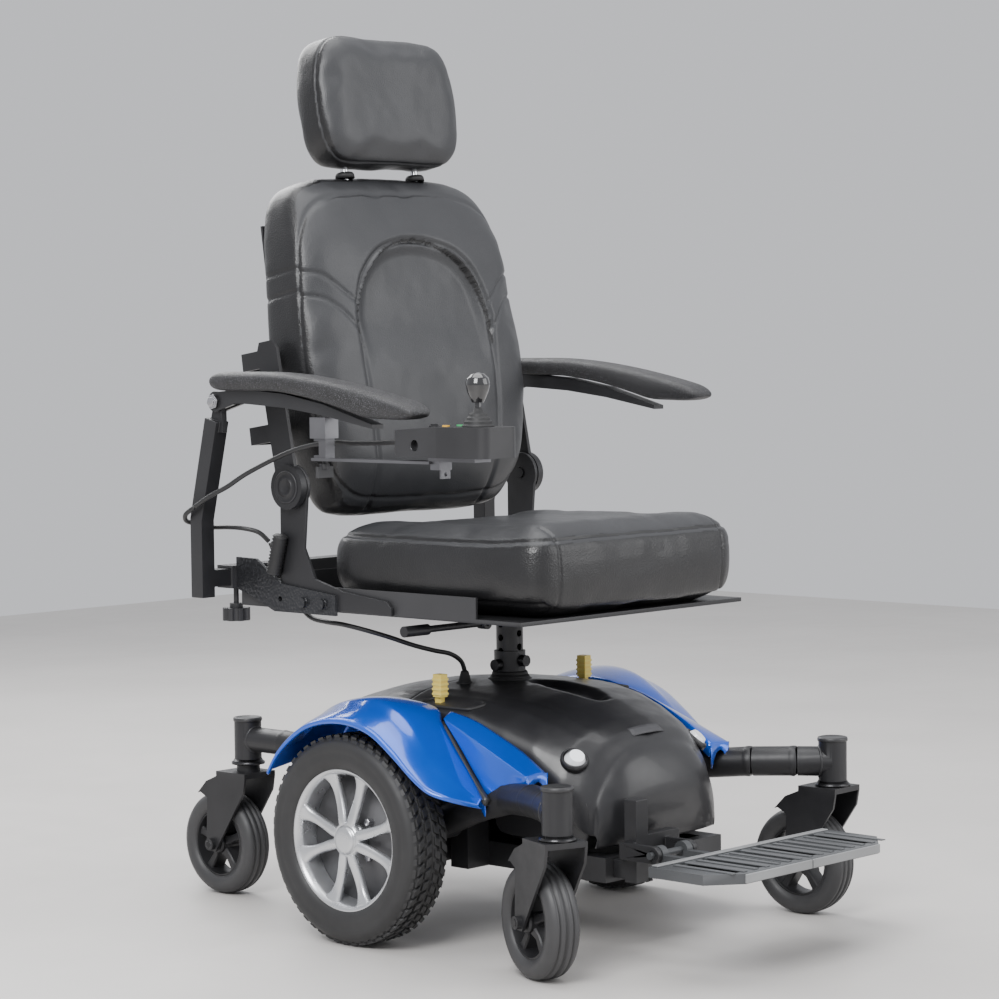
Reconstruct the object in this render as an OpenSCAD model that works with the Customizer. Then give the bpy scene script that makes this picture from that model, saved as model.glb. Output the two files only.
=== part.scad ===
// Mid-wheel power wheelchair with a captain's seat.
// The user faces -Y, the user's right-hand side is -X, +Z is up.
// Modules are drawn with the drive axle at y = 0 and in_frame() moves them
// so that the origin lies under the centre of the whole chair.

/* [Drive wheels] */
// Drive tyre radius
drive_r = 152; // [145:1:155]
// Drive tyre width
drive_w = 80; // [70:1:80]
// Outer face of each drive tyre, from the centre plane
drive_face_x = 321; // [320:1:330]
// Seat of the tyre on the rim
rim_r = 98; // [92:1:100]

/* [Casters] */
// Caster wheel radius
caster_r = 80; // [76:1:80]
// Caster tyre width
caster_w = 50; // [44:1:50]
// Distance of the caster axle behind its swivel axis
caster_trail = 52; // [48:1:56]
// Front swivel axes, from the centre plane
front_barrel_x = 305; // [300:1:310]
// Front swivel axes, ahead of the drive axle
front_barrel_y = 405; // [400:1:410]
// Rear swivel axes, from the centre plane
rear_barrel_x = 145; // [140:1:150]
// Rear swivel axes, behind the drive axle
rear_barrel_y = 385; // [380:1:390]
// Swivel angle of the front right, front left, rear right and rear left caster
caster_yaw = [20, -2, 0, 4]; // [-30:1:30]

/* [Seat] */
// Seat cushion width
seat_w = 468; // [440:1:470]
// Underside of the seat cushion
seat_z = 476; // [474:1:478]
// Height of the side bolsters above the underside
seat_t = 132; // [110:1:134]
// Lean of the backrest from the vertical
back_lean = 8; // [6:1:10]
// Headrest width
headrest_w = 276; // [240:1:280]

/* [Armrests] */
// Centre of each arm pad, from the centre plane
arm_x = 308; // [306:1:320]
// Height of the right armrest pivot
arm_pivot_z = 775; // [770:1:780]
// How much higher the left armrest is set
arm_left_raise = 12; // [0:1:14]
// Arm pad width
pad_w = 56; // [50:1:58]

/* [Footplate] */
// Front edge of the footplate, ahead of the drive axle
foot_front_y = 600; // [590:1:610]
// Footplate width
foot_w = 390; // [360:1:400]

/* [Hidden] */
$fn = 48;
RUN = 0.05;          // radial clearance of a running fit
GAP = 0.5;           // clearance between sliding flat faces

drive_x = drive_face_x - drive_w / 2;
rear_end = rear_barrel_y + caster_trail + caster_r;
axle_y = (foot_front_y - rear_end) / 2;

arm_tube_r = 22;
barrel_r = 21;
stem_r = 13;
front_barrel_z = 199;
rear_barrel_z = 211;
barrel_h = 69;
front_pivot = [205, -95, 175];

post_y = -38;
post_outer_r = 23.5;
post_inner_r = 20;
post_top_z = 400;
bolt_z = [386, 380];
flange_z = 456;

lever_x = 157;
lever_y = -45;
lever_pivot_z = 225;

hinge_y = -418;
hinge_z = 152;
hinge_x = -84;
plate_rear_y = -470;
plate_z = 138;

pan_z = 468;
cross_y = 300;
cross_z = 511;
tube_w = 26;
back_pivot = [162, 649];
rod_x = 75;
rod_y = -4;          // rods behind the hinge line, up the back
rod_r = 6;
arm_pivot_y = 255;
post_bend = [300, 598];

stick_y = -262;
stick_z = 744;

lead_r = 3.5;
// Route of the controller lead, controller to arm post
LEAD_ARM = [[-292, -106, 722], [-284, -85, 720], [-279, -50, 718], [-277, 0, 717], [-277, 45, 717],
            [-279, 90, 712], [-284, 130, 702], [-292, 170, 686], [-304, 205, 668], [-315, 232, 650],
            [-326, 258, 636], [-326, 290, 620]];
// Arm post to seat frame
LEAD_POST = [[-326, 292, 619], [-326, 312, 608], [-318, 322, 598], [-303, 326, 593], [-288, 322, 589],
             [-279, 305, 586], [-276, 275, 587], [-270, 248, 586], [-256, 230, 580], [-243, 222, 566]];
// Seat frame to the grommet in the hood
LEAD_DROP = [[-241, 221, 564], [-234, 216, 542], [-228, 208, 510], [-222, 190, 482], [-221, 160, 456],
             [-221, 125, 450], [-219, 92, 448], [-206, 60, 441], [-182, 33, 430], [-152, 14, 417],
             [-120, 2, 407], [-92, -4, 400], [-72, -6, 388], [-64, -6, 373]];

// ---------- helpers ----------

// Moves from the drive-axle frame to the frame of the whole chair
module in_frame() {
    translate([0, axle_y, 0]) children();
}

// Draws a left-hand (+X) shape, or its mirror image on the right
module on_side(side) {
    if (side > 0) children();
    else mirror([1, 0, 0]) children();
}

// Cylinder along X from x0 to x1
module x_rod(x0, x1, r, y, z) {
    translate([x0, y, z]) rotate([0, 90, 0]) cylinder(h = x1 - x0, r = r);
}

// Cylinder along Y from y0 to y1
module y_rod(y0, y1, r, x, z) {
    translate([x, y0, z]) rotate([-90, 0, 0]) cylinder(h = y1 - y0, r = r);
}

// Side outline (y, z) extruded from x0 to x1
module side_slab(x0, x1, outline) {
    translate([x0, 0, 0]) rotate([90, 0, 90]) linear_extrude(height = x1 - x0) polygon(outline);
}

// Front outline (x, z) extruded from y0 to y1
module front_slab(y0, y1, outline) {
    translate([0, y1, 0]) rotate([90, 0, 0]) linear_extrude(height = y1 - y0) polygon(outline);
}

// Box given by its low and high corners
module block(low, high) {
    translate(low) cube(high - low);
}

// Convex body over a list of corners
module skin(corners) {
    hull() polyhedron(corners, [[for (i = [0 : len(corners) - 1]) i]]);
}

// Round tube through a list of points
module bent_rod(points, r) {
    for (i = [0 : len(points) - 2]) {
        run = points[i + 1] - points[i];
        translate(points[i])
            rotate([0, acos(run[2] / norm(run)), atan2(run[1], run[0])])
                cylinder(h = norm(run), r = r);
        // a ball a little prouder than the tube closes each bend
        if (i > 0) translate(points[i]) sphere(r = r + 0.8);
    }
}

function unit(v) = v / norm(v);
function through4(a, b, c, d, t) =
    0.5 * ((2 * b) + (c - a) * t + (2 * a - 5 * b + 4 * c - d) * t * t + (3 * b - a - 3 * c + d) * t * t * t);
function at(points, i) = points[max(0, min(len(points) - 1, i))];
function smooth(points, steps) = [
    for (i = [0 : len(points) - 2], s = [0 : steps - 1])
        through4(at(points, i - 1), at(points, i), at(points, i + 1), at(points, i + 2), s / steps),
    points[len(points) - 1]];
function ring(centre, along, r, sides) =
    let (reference = abs(along[2]) > 0.9 ? [0, 1, 0] : [0, 0, 1],
         across = unit(cross(along, reference)), up = cross(across, along))
    [for (k = [0 : sides - 1]) centre + r * (cos(360 * k / sides) * across + sin(360 * k / sides) * up)];

// Round lead swept along a route
module lead(route, steps = 2, sides = 8) {
    path = smooth(route, steps);
    last = len(path) - 1;
    rings = [for (i = [0 : last]) each ring(path[i], unit(at(path, i + 1) - at(path, i - 1)), lead_r, sides)];
    faces = [
        [for (k = [0 : sides - 1]) k],
        [for (k = [0 : sides - 1]) last * sides + sides - 1 - k],
        for (i = [0 : last - 1], k = [0 : sides - 1])
            [i * sides + k, (i + 1) * sides + k, (i + 1) * sides + (k + 1) % sides, i * sides + (k + 1) % sides]];
    polyhedron(points = rings, faces = faces);
}

// ---------- base ----------

module chassis_frame() color([0.10, 0.10, 0.11]) in_frame() {
    difference() {
        union() {
            block([-128, -335, 104], [128, 246, 109]);
            for (side = [-1, 1]) on_side(side) {
                block([100, -335, 109], [128, 246, 139]);
                block([128, -40, 104], [149, 20, 178]);
                block([128, -112, 104], [172, -78, 190]);
                block([100, 232, 139], [134, 246, 262]);
                bent_rod([[rear_barrel_x - 6, 240, 245], [rear_barrel_x, 300, 247],
                          [rear_barrel_x, rear_barrel_y, 247]], 19);
            }
            block([-128, -66, 109], [128, -10, 150]);
            block([-100, -335, 109], [100, -318, 139]);
            translate([0, post_y, 109]) cylinder(h = post_top_z - 109, r = post_outer_r);
            for (side = [-1, 1])
                translate([side * rear_barrel_x, rear_barrel_y, rear_barrel_z]) cylinder(h = barrel_h, r = barrel_r);
        }
        translate([0, post_y, 240]) cylinder(h = 200, r = post_inner_r);
        for (side = [-1, 1])
            translate([side * rear_barrel_x, rear_barrel_y, rear_barrel_z - 1]) cylinder(h = barrel_h - 6, r = stem_r);
        y_rod(-70, post_y, 5, 0, bolt_z[0]);
        x_rod(-30, 0, 5, post_y, bolt_z[1]);
    }
    // pivot pins of the front arms
    for (side = [-1, 1]) on_side(side) x_rod(170, 229, 8, front_pivot[1], front_pivot[2]);
}

// Half sections of the domed hood, front to back: y, then x and z of four corners of each
HOOD_ROWS = [[-322, [40, 278], [70, 268], [90, 250]],
             [-305, [40, 302], [82, 291], [112, 262], [128, 240]],
             [-277, [40, 319], [90, 309], [126, 285], [157, 240]],
             [-230, [40, 338], [96, 329], [132, 311], [160, 282]],
             [-180, [40, 351], [102, 343], [140, 328], [172, 301]],
             [-120, [40, 358], [110, 351], [150, 340], [183, 324]],
             [21, [40, 358], [110, 351], [150, 340], [185, 324]]];

function snout_side(t) = [[-122, 150], [-122, 358 - t], [-180, 351 - t], [-250, 332 - t], [-305, 302 - t],
                          [-340 + t, 262], [-352 + t, 215], [-348 + t, 172], [-335 + t, 150]];
function snout_front(t) = [[-132 + t, 150], [-141 + t, 232], [-128 + t, 276 - t], [-90 + t, 302 - t], [-40, 314 - t],
                           [40, 314 - t], [90 - t, 302 - t], [128 - t, 276 - t], [141 - t, 232], [132 - t, 150]];

// The dome drawn in by t for the inside of its shell, with its walls standing on z = low
module hood_saddle(t, low) {
    skin([for (row = HOOD_ROWS) for (i = [1 : len(row) - 1]) for (side = [-1, 1]) for (z = [low, row[i][1] - t])
        [side * (row[i][0] - (i == len(row) - 1 ? t : 0)), row[0] < -200 ? row[0] + t : row[0], z]]);
}

module hood_snout(t) {
    intersection() {
        side_slab(-200, 200, snout_side(t));
        front_slab(-400, 60, snout_front(t));
    }
}

module shroud_hood() color([0.06, 0.06, 0.065]) in_frame() {
    difference() {
        union() {
            hood_saddle(0, 258);
            hood_snout(0);
        }
        hood_saddle(4, 240);
        translate([0, 0, -0.5]) hood_snout(4);
        translate([0, post_y, 300]) cylinder(h = 120, r = 25.5);
        for (side = [-1, 1]) on_side(side) block([147, -112, 300], [167, -32, 400]);
        // opening around the footrest hanger
        front_slab(-400, -300, [[-136, 166], [-126, 226], [-112, 238], [-46, 238], [-78, 166]]);
    }
    // grommet where the lead enters
    difference() {
        translate([-64, -6, 352]) cylinder(h = 18, r1 = 9, r2 = 6);
        translate([0, post_y, 300]) cylinder(h = 120, r = 25.5);
    }
}

function tail_side(t) = [[22, 140], [22, 357 - t], [76, 352 - t], [140, 341 - t], [195, 325 - t],
                         [240 - t / 2, 298 - t], [262 - t, 268 - t / 2], [262 - t, 140]];
function tail_front(t) = [[-141 + t, 140], [-141 + t, 262 + t], [-185 + t, 262 + t], [-185 + t, 322 - t],
                          [-150, 338 - t], [-100, 351 - t], [-40, 357 - t], [40, 357 - t], [100, 351 - t],
                          [150, 338 - t], [185 - t, 322 - t], [185 - t, 262 + t], [141 - t, 262 + t], [141 - t, 140]];

// Half sections of the rear cover, front to back, as for the hood
TAIL_ROWS = [[22, [40, 357], [100, 351], [150, 338], [185, 322]],
             [76, [40, 352], [100, 346], [148, 331], [178, 312]],
             [140, [40, 341], [95, 334], [138, 316], [162, 292]],
             [195, [40, 326], [90, 319], [124, 304], [150, 278]],
             [240, [40, 304], [82, 296], [110, 280], [130, 254]],
             [262, [40, 274], [74, 268], [98, 256], [114, 240]]];

module tail_body(t) {
    intersection() {
        skin([for (row = TAIL_ROWS) for (i = [1 : len(row) - 1]) for (side = [-1, 1]) for (z = [138, row[i][1] - t])
            [side * (row[i][0] - (i == len(row) - 1 ? t : 0)), row[0] > 200 ? row[0] - t : row[0], z]]);
        side_slab(-200, 200, tail_side(t));
        front_slab(0, 300, tail_front(t));
    }
}

module shroud_tail() color([0.06, 0.06, 0.065]) in_frame() {
    difference() {
        tail_body(0);
        tail_body(4);
        block([-137, 0, 130], [137, 258, 180]);
        // room for the rear columns and arms
        for (side = [-1, 1]) on_side(side) block([96, 228, 130], [190, 270, 268]);
    }
}

// Corners of a fender's outer skin, drawn in by t for the inside of its shell: its inner edge, its
// outer lip over the wheel and its narrow front end
function fender_corners(t) = [
    for (x = [187 - 8 * t]) for (p = [[150, 250], [122, 300], [66, 330], [0, 342], [-60, 342]])
        [x, p[0] - t * p[0] / 150, p[1] - t],
    [186 - 8 * t, -120, 333 - t], [184 - 8 * t, -180, 312 - t], [181 - 8 * t, -235, 287 - t],
    [179 - 8 * t, -276 + t, 261 - t], [224 - t, -276 + t, 260 - t], [219 - t, -276 + t, 223 - t],
    [179 - 8 * t, -276 + t, 223 - t], [187 - 8 * t, 150 - t, 200 - t],
    for (p = [[150, 240], [122, 276], [66, 315], [0, 327], [-60, 317], [-110, 286], [-150, 250]])
        [325 - t, p[0] - t * p[0] / 150, p[1] - t],
    [325 - t, 150 - t, 200 - t], [325 - t, -165 + t, 222 - t]];

module fender_body(t) {
    skin(fender_corners(t));
}

module fender_shell(side) color([0.0, 0.29, 0.75]) in_frame() on_side(side) {
    difference() {
        fender_body(0);
        fender_body(4);
        block([100, -300, 100], [400, 200, 222]);
        x_rod(180, 340, 168, 0, drive_r);
        // notch for the arm tube
        bent_rod([[212, -225, 222], [275, -360, 232]], arm_tube_r + 17);
    }
}

module fender_right() fender_shell(-1);
module fender_left() fender_shell(1);

module batteries() color([0.18, 0.18, 0.2]) in_frame() {
    for (side = [-1, 1]) on_side(side) {
        block([2, 30, 109.5], [96, 226, 272]);
        for (x = [30, 70]) translate([x, 52, 272]) cylinder(h = 8, r = 7);
    }
}

module gearmotor(side) color([0.35, 0.36, 0.38]) in_frame() on_side(side) {
    difference() {
        union() {
            block([150, -44, 108], [230, 44, 194]);
            x_rod(230, 238, 30, 0, drive_r);
            y_rod(44, 205, 36, 188, drive_r);
            block([148.5, -56, 180], [151, -34, 240]);
            block([163, -56, 180], [166, -34, 240]);
            block([151, -56, 190], [163, -34, 206]);
        }
        x_rod(165, 240, 8 + RUN, 0, drive_r);
        x_rod(148, 167, 3 + RUN, lever_y, lever_pivot_z);
    }
}

module gearmotor_right() gearmotor(-1);
module gearmotor_left() gearmotor(1);

module control_module() color([0.15, 0.15, 0.16]) in_frame() {
    block([-88, -262, 139.5], [88, -120, 186]);
    for (i = [-1 : 1]) block([i * 50 - 14, -280, 148], [i * 50 + 14, -262, 176]);
    block([-99, -250, 109.5], [99, -235, 139.5]);
    block([-99, -150, 109.5], [99, -135, 139.5]);
}

module post_inner() color([0.12, 0.12, 0.13]) in_frame() {
    difference() {
        union() {
            translate([0, post_y, 242]) cylinder(h = flange_z - 242, r = post_inner_r);
            translate([0, post_y, flange_z]) cylinder(h = 5, r = 62);
        }
        translate([0, post_y, 200]) cylinder(h = 300, r = 14);
        for (z = [bolt_z[0] - 60 : 20 : 446]) y_rod(-70, post_y, 5, 0, z);
        for (z = [bolt_z[1] - 40 : 20 : 440]) x_rod(-30, 0, 5, post_y, z);
    }
}

module post_bolts() color([0.2, 0.2, 0.21]) in_frame() {
    y_rod(post_y - 30, post_y - 15, 5, 0, bolt_z[0]);
    y_rod(post_y - 34, post_y - post_outer_r, 8.5, 0, bolt_z[0]);
    x_rod(-30, -15, 5, post_y, bolt_z[1]);
    x_rod(-34, -post_outer_r, 8.5, post_y, bolt_z[1]);
}

module head_lamps() color([0.85, 0.88, 0.9, 0.8]) in_frame() {
    for (side = [-1, 1]) on_side(side)
        translate([132, -284, 272]) rotate([38, 24, 0]) cylinder(h = 11, r1 = 16, r2 = 11);
}

module footrest_bracket() color([0.09, 0.09, 0.1]) in_frame() {
    difference() {
        union() {
            block([hinge_x - 28, -378, 106], [hinge_x - 2, -356, 222]);
            block([hinge_x - 28, -358, 110], [hinge_x - 2, -335.2, 136]);
            block([hinge_x - 28, -378, 152], [hinge_x + 66, -358, 172]);
            for (x = [hinge_x - 42, hinge_x + 34]) {
                block([x, hinge_y, 140], [x + 8, -358, 164]);
                x_rod(x, x + 8, 12, hinge_y, hinge_z);
            }
            block([hinge_x - 42, -378, 140], [hinge_x + 42, -358, 164]);
        }
        x_rod(hinge_x - 60, hinge_x + 60, 5 + RUN, hinge_y, hinge_z);
    }
}

module front_arm(side) color([0.09, 0.09, 0.1]) in_frame() on_side(side) {
    p = front_pivot;
    difference() {
        union() {
            x_rod(p[0] - 18, p[0] + 20, 24, p[1], p[2]);
            bent_rod([[p[0], p[1], p[2]], [206, -170, 206], [214, -235, 224], [240, -300, 230],
                      [272, -358, 232], [front_barrel_x, -front_barrel_y, 232]], arm_tube_r);
            translate([front_barrel_x, -front_barrel_y, front_barrel_z]) cylinder(h = barrel_h, r = barrel_r);
        }
        x_rod(p[0] - 40, p[0] + 40, 8 + RUN, p[1], p[2]);
        translate([front_barrel_x, -front_barrel_y, front_barrel_z - 5]) cylinder(h = barrel_h - 2, r = stem_r);
    }
}

module front_arm_right() front_arm(-1);
module front_arm_left() front_arm(1);

// ---------- wheels ----------

// Swivel frame of one caster, with +Y as its trailing direction
module at_caster(side, end, yaw) {
    y = end < 0 ? -front_barrel_y : rear_barrel_y;
    x = side * (end < 0 ? front_barrel_x : rear_barrel_x);
    in_frame() translate([x, y, 0]) rotate([0, 0, -yaw]) children();
}

module fork(side, end, yaw) color([0.08, 0.08, 0.09]) at_caster(side, end, yaw) {
    barrel_z = end < 0 ? front_barrel_z : rear_barrel_z;
    crown_z = 188;
    leg_x = caster_w / 2 + 3;
    translate([-leg_x - 4, -26, crown_z]) cube([2 * leg_x + 8, 66, 8]);
    translate([0, 0, crown_z]) cylinder(h = barrel_z - 1 - crown_z, r = 18);
    translate([0, 0, crown_z]) cylinder(h = barrel_z + barrel_h - 12 - crown_z, r = stem_r - RUN);
    for (s = [-1, 1]) {
        side_slab(s > 0 ? leg_x : -leg_x - 4, s > 0 ? leg_x + 4 : -leg_x,
                  [[-26, crown_z], [-22, 166], [caster_trail - 13, caster_r - 3],
                   [caster_trail - 8, caster_r - 11], [caster_trail + 8, caster_r - 11],
                   [caster_trail + 13, caster_r - 2], [62, 152], [78, 160], [84, 158], [64, 178],
                   [40, crown_z]]);
        x_rod(s > 0 ? leg_x + 4 : -leg_x - 11, s > 0 ? leg_x + 11 : -leg_x - 4, 9, caster_trail, caster_r);
    }
    // axle bolt
    x_rod(-leg_x - 10, leg_x + 10, 5, caster_trail, caster_r);
}

module fork_front_right() fork(-1, -1, caster_yaw[0]);
module fork_front_left() fork(1, -1, caster_yaw[1]);
module fork_rear_right() fork(-1, 1, caster_yaw[2]);
module fork_rear_left() fork(1, 1, caster_yaw[3]);

module caster(side, end, yaw) color([0.13, 0.13, 0.14]) at_caster(side, end, yaw) {
    half = caster_w / 2;
    translate([0, caster_trail, caster_r]) rotate([0, 90, 0]) difference() {
        union() {
            rotate_extrude($fn = 64) polygon([
                [50, -half + 6], [66, -half], [74, -half + 3], [79, -half + 10], [caster_r, -12],
                [78, -11], [caster_r, -10], [caster_r, -1], [78, 0], [caster_r, 1], [caster_r, 10],
                [78, 11], [caster_r, 12], [79, half - 10], [74, half - 3], [66, half], [50, half - 6]]);
            rotate_extrude($fn = 64) polygon([[44, -18], [52, -18], [52, 18], [44, 18]]);
            translate([0, 0, -half - 2]) cylinder(h = caster_w + 4, r = 14);
            for (i = [0 : 4]) rotate([0, 0, 72 * i]) translate([10, -7, -9]) cube([38, 14, 18]);
        }
        cylinder(h = 100, r = 5 + RUN, center = true);
    }
}

module caster_front_right() caster(-1, -1, caster_yaw[0]);
module caster_front_left() caster(1, -1, caster_yaw[1]);
module caster_rear_right() caster(-1, 1, caster_yaw[2]);
module caster_rear_left() caster(1, 1, caster_yaw[3]);

// Frame of a drive wheel: +Z of the children points outwards along the axle
module at_drive(side) {
    in_frame() on_side(side) translate([drive_x, 0, drive_r]) rotate([0, 90, 0]) children();
}

module drive_tyre(side) color([0.07, 0.07, 0.07]) at_drive(side) {
    half = drive_w / 2;
    rotate_extrude($fn = 96) polygon([
        [rim_r, -half + 7], [112, -half + 1], [130, -half], [143, -half + 4], [150, -half + 12],
        [drive_r, -26], [drive_r, -21], [147, -20], [147, -16], [drive_r, -15], [drive_r, -3],
        [147, -2], [147, 2], [drive_r, 3], [drive_r, 15], [147, 16], [147, 20], [drive_r, 21],
        [drive_r, 26], [150, half - 12], [143, half - 4], [130, half], [112, half - 1], [rim_r, half - 7]]);
}

module drive_tyre_right() drive_tyre(-1);
module drive_tyre_left() drive_tyre(1);

module drive_rim(side) color([0.75, 0.76, 0.77]) at_drive(side) {
    half = drive_w / 2;
    difference() {
        union() {
            rotate_extrude($fn = 96) polygon([[rim_r - 6, -half + 7], [rim_r, -half + 7], [rim_r, half - 7],
                                             [rim_r - 4, half - 5], [rim_r - 8, half - 8], [rim_r - 8, 14],
                                             [rim_r - 6, 12]]);
            translate([0, 0, 16]) linear_extrude(height = 12) difference() {
                circle(r = rim_r - 5);
                for (i = [0 : 3]) rotate(90 * i) {
                    polygon([[32, -4], [44, -11], [76, -15], [82, -11], [82, 11], [76, 15], [44, 11], [32, 4]]);
                    rotate(45) polygon([[27, -3], [50, -20], [84, -19], [87, 0], [84, 19], [50, 20], [27, 3]]);
                }
            }
            translate([0, 0, -30]) cylinder(h = 54, r = 20);
            translate([0, 0, 24]) cylinder(h = 8, r1 = 22, r2 = 19);
        }
        translate([0, 0, -31]) cylinder(h = 55, r = 8);
    }
}

module drive_rim_right() drive_rim(-1);
module drive_rim_left() drive_rim(1);

module drive_shaft(side) color([0.6, 0.6, 0.62]) at_drive(side) {
    translate([0, 0, 170 - drive_x]) cylinder(h = drive_x - 170 + 24, r = 8);
}

module drive_shaft_right() drive_shaft(-1);
module drive_shaft_left() drive_shaft(1);

module freewheel_lever(side) color([0.85, 0.72, 0.1]) in_frame() on_side(side)
    translate([0, lever_y, 0]) {
        block([lever_x - 4, -6, lever_pivot_z - 6], [lever_x + 4, 6, 346]);
        x_rod(lever_x - 5, lever_x + 5, 9, 0, lever_pivot_z);
        x_rod(lever_x - 8, lever_x + 8, 3, 0, lever_pivot_z);
        block([lever_x - 7, -9, 346], [lever_x + 7, 7, 379]);
        for (i = [0 : 3]) block([lever_x - 8, -10, 349 + 7 * i], [lever_x + 8, 8, 352 + 7 * i]);
    }

module freewheel_lever_right() freewheel_lever(-1);
module freewheel_lever_left() freewheel_lever(1);

module footplate() color([0.25, 0.26, 0.28]) in_frame() {
    half = foot_w / 2;
    slot_pitch = (foot_w - 60) / 8;
    difference() {
        union() {
            translate([0, 0, plate_z]) linear_extrude(height = 14) polygon([
                [-half, plate_rear_y], [-half, -foot_front_y + 36], [-half + 46, -foot_front_y],
                [half - 46, -foot_front_y], [half, -foot_front_y + 36], [half, plate_rear_y]]);
            for (x = [hinge_x - 32, hinge_x + 20]) {
                block([x, plate_rear_y - 10, plate_z], [x + 12, hinge_y, plate_z + 14]);
                x_rod(x, x + 12, 12, hinge_y, hinge_z);
            }
        }
        // ribbed tread in the upper face
        for (i = [0 : 7]) block([-half + 38 + i * slot_pitch, -foot_front_y + 14, plate_z + 11],
                                [-half + 38 + i * slot_pitch + 22, plate_rear_y - 14, plate_z + 20]);
    }
    x_rod(hinge_x - 48, hinge_x + 48, 5, hinge_y, hinge_z);
}

// ---------- seat ----------

module seat_frame() color([0.09, 0.09, 0.1]) in_frame() {
    difference() {
        union() {
            block([-242, -285, pan_z], [242, 135, pan_z + 6]);
            block([-196, 135, pan_z], [196, 290, pan_z + 6]);
            for (side = [-1, 1]) on_side(side) block([238, -200, pan_z], [242, 190, pan_z + 36]);
            block([-262, cross_y - 17, cross_z - 17], [262, cross_y + 17, cross_z + 17]);
            block([-196, cross_y - 22, pan_z], [196, cross_y - 10, cross_z]);
            for (side = [-1, 1]) on_side(side) block([238, 182, pan_z], [242, cross_y - 15, cross_z]);
        }
        translate([0, cross_y, cross_z]) cube([600, tube_w, tube_w], center = true);
        for (side = [-1, 1]) translate([side * 240, cross_y, 460]) cylinder(h = 50, r = 4.5);
    }
    // swivel ring under the pan
    difference() {
        translate([0, post_y, flange_z + 5.5]) cylinder(h = pan_z - flange_z - 5.5, r = 70);
        translate([0, post_y, flange_z + 4]) cylinder(h = 3, r = 20);
    }
}

// Side outline of the seat cushion
seat_side = [[-290, seat_z], [-308, seat_z + 12], [-314, seat_z + 50], [-308, seat_z + 100],
             [-285, seat_z + seat_t - 6], [-250, seat_z + seat_t], [-100, seat_z + seat_t - 6],
             [20, seat_z + seat_t - 10], [92, seat_z + seat_t - 14], [120, seat_z + 104],
             [132, seat_z + 70], [132, seat_z]];
// Front outline, dished between the bolsters
seat_front = [[-seat_w / 2 + 16, seat_z], [-seat_w / 2, seat_z + 30], [-seat_w / 2, seat_z + 100],
              [-seat_w / 2 + 22, seat_z + seat_t], [-170, seat_z + seat_t], [-110, seat_z + seat_t - 20],
              [0, seat_z + seat_t - 28], [110, seat_z + seat_t - 20], [170, seat_z + seat_t],
              [seat_w / 2 - 22, seat_z + seat_t], [seat_w / 2, seat_z + 100], [seat_w / 2, seat_z + 30],
              [seat_w / 2 - 16, seat_z]];

module seat_cushion() color([0.2, 0.2, 0.22]) in_frame() {
    intersection() {
        side_slab(-300, 300, seat_side);
        front_slab(-400, 300, seat_front);
    }
}

module recliner_plates() color([0.07, 0.07, 0.075]) in_frame() {
    p = back_pivot;
    for (side = [-1, 1]) on_side(side) difference() {
        union() {
            x_rod(243, 249, 33, p[0], p[1]);
            side_slab(243, 249, [[p[0] - 29, p[1] - 14], [p[0] - 22, 560], [118, 515], [60, 500], [-30, 490],
                                 [-40, 480], [-40, 470], [190, 470], [190, 520], [p[0] + 28, p[1] - 14]]);
        }
        x_rod(240, 252, 8 + RUN, p[0], p[1]);
    }
}

module side_brackets() color([0.2, 0.2, 0.21]) in_frame() {
    for (side = [-1, 1]) on_side(side) {
        difference() {
            union() {
                side_slab(249, 254, [[70, 464], [70, 494], [185, 506], [240, 540], [283, 541], [283, 494],
                                     [240, 480], [200, 464]]);
                block([249, 278, 494], [254, 283, 541]);
            }
            x_rod(240, 260, 4, 187, 483);
        }
        for (y = [97, 137]) {
            x_rod(254, 260, 8, y, 480);
            x_rod(242, 254, 4, y, 480);
        }
    }
}

module swivel_lever() color([0.3, 0.3, 0.32]) in_frame() {
    difference() {
        union() {
            x_rod(-236, -84, 5, -60, 448);
            x_rod(-244, -196, 8, -60, 448);
            y_rod(-68, -52, 9, -78, 448);
        }
        y_rod(-80, -40, 4 + RUN, -78, 448);
    }
}

// Local frame of the back: origin at the hinge, +Z up along the back
module in_back() {
    in_frame() translate([0, back_pivot[0], back_pivot[1]]) rotate([-back_lean, 0, 0]) children();
}

back_rear = 66;      // rear face of the back cushion behind the hinge line
back_top = 462;      // top of the back cushion above the hinge

module back_frame() color([0.07, 0.07, 0.075]) in_back() {
    for (side = [-1, 1]) on_side(side) {
        side_slab(251, 257, [[-18, 0], [-6, 205], [2, 218], [30, 218], [36, 205], [24, 0]]);
        x_rod(251, 262, 33, 0, 0);
        x_rod(241, 252, 8, 0, 0);
    }
    for (z = [70, 180]) block([-257, back_rear + 1, z], [257, back_rear + 5, z + 26]);
    for (side = [-1, 1]) on_side(side) for (z = [70, 180]) block([251, 20, z], [257, back_rear + 5, z + 26]);
    block([-190, back_rear + 1, 30], [190, back_rear + 5, 400]);
    for (side = [-1, 1]) on_side(side) difference() {
        union() {
            translate([rod_x, rod_y, 250]) cylinder(h = 90, r = 9);
            block([rod_x - 6, rod_y, 250], [rod_x + 6, back_rear + 2, 340]);
        }
        translate([rod_x, rod_y, 249]) cylinder(h = 92, r = rod_r + RUN);
    }
}

// Side outline of the back cushion, crowned at the small of the back
back_side = [[6, -42], [-24, -26], [-48, 10], [-60, 60], [-64, 150], [-58, 260], [-44, 380], [-22, 440],
             [12, back_top - 2], [36, back_top], [58, 440], [back_rear, 400], [back_rear, 20], [50, -28]];
back_half = [[-150, -60], [-190, -30], [-218, 60], [-235, 170], [-231, 280], [-215, 390], [-190, 440],
             [-140, back_top], [140, back_top], [190, 440], [215, 390], [231, 280], [235, 170], [218, 60],
             [190, -30], [150, -60]];

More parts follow.
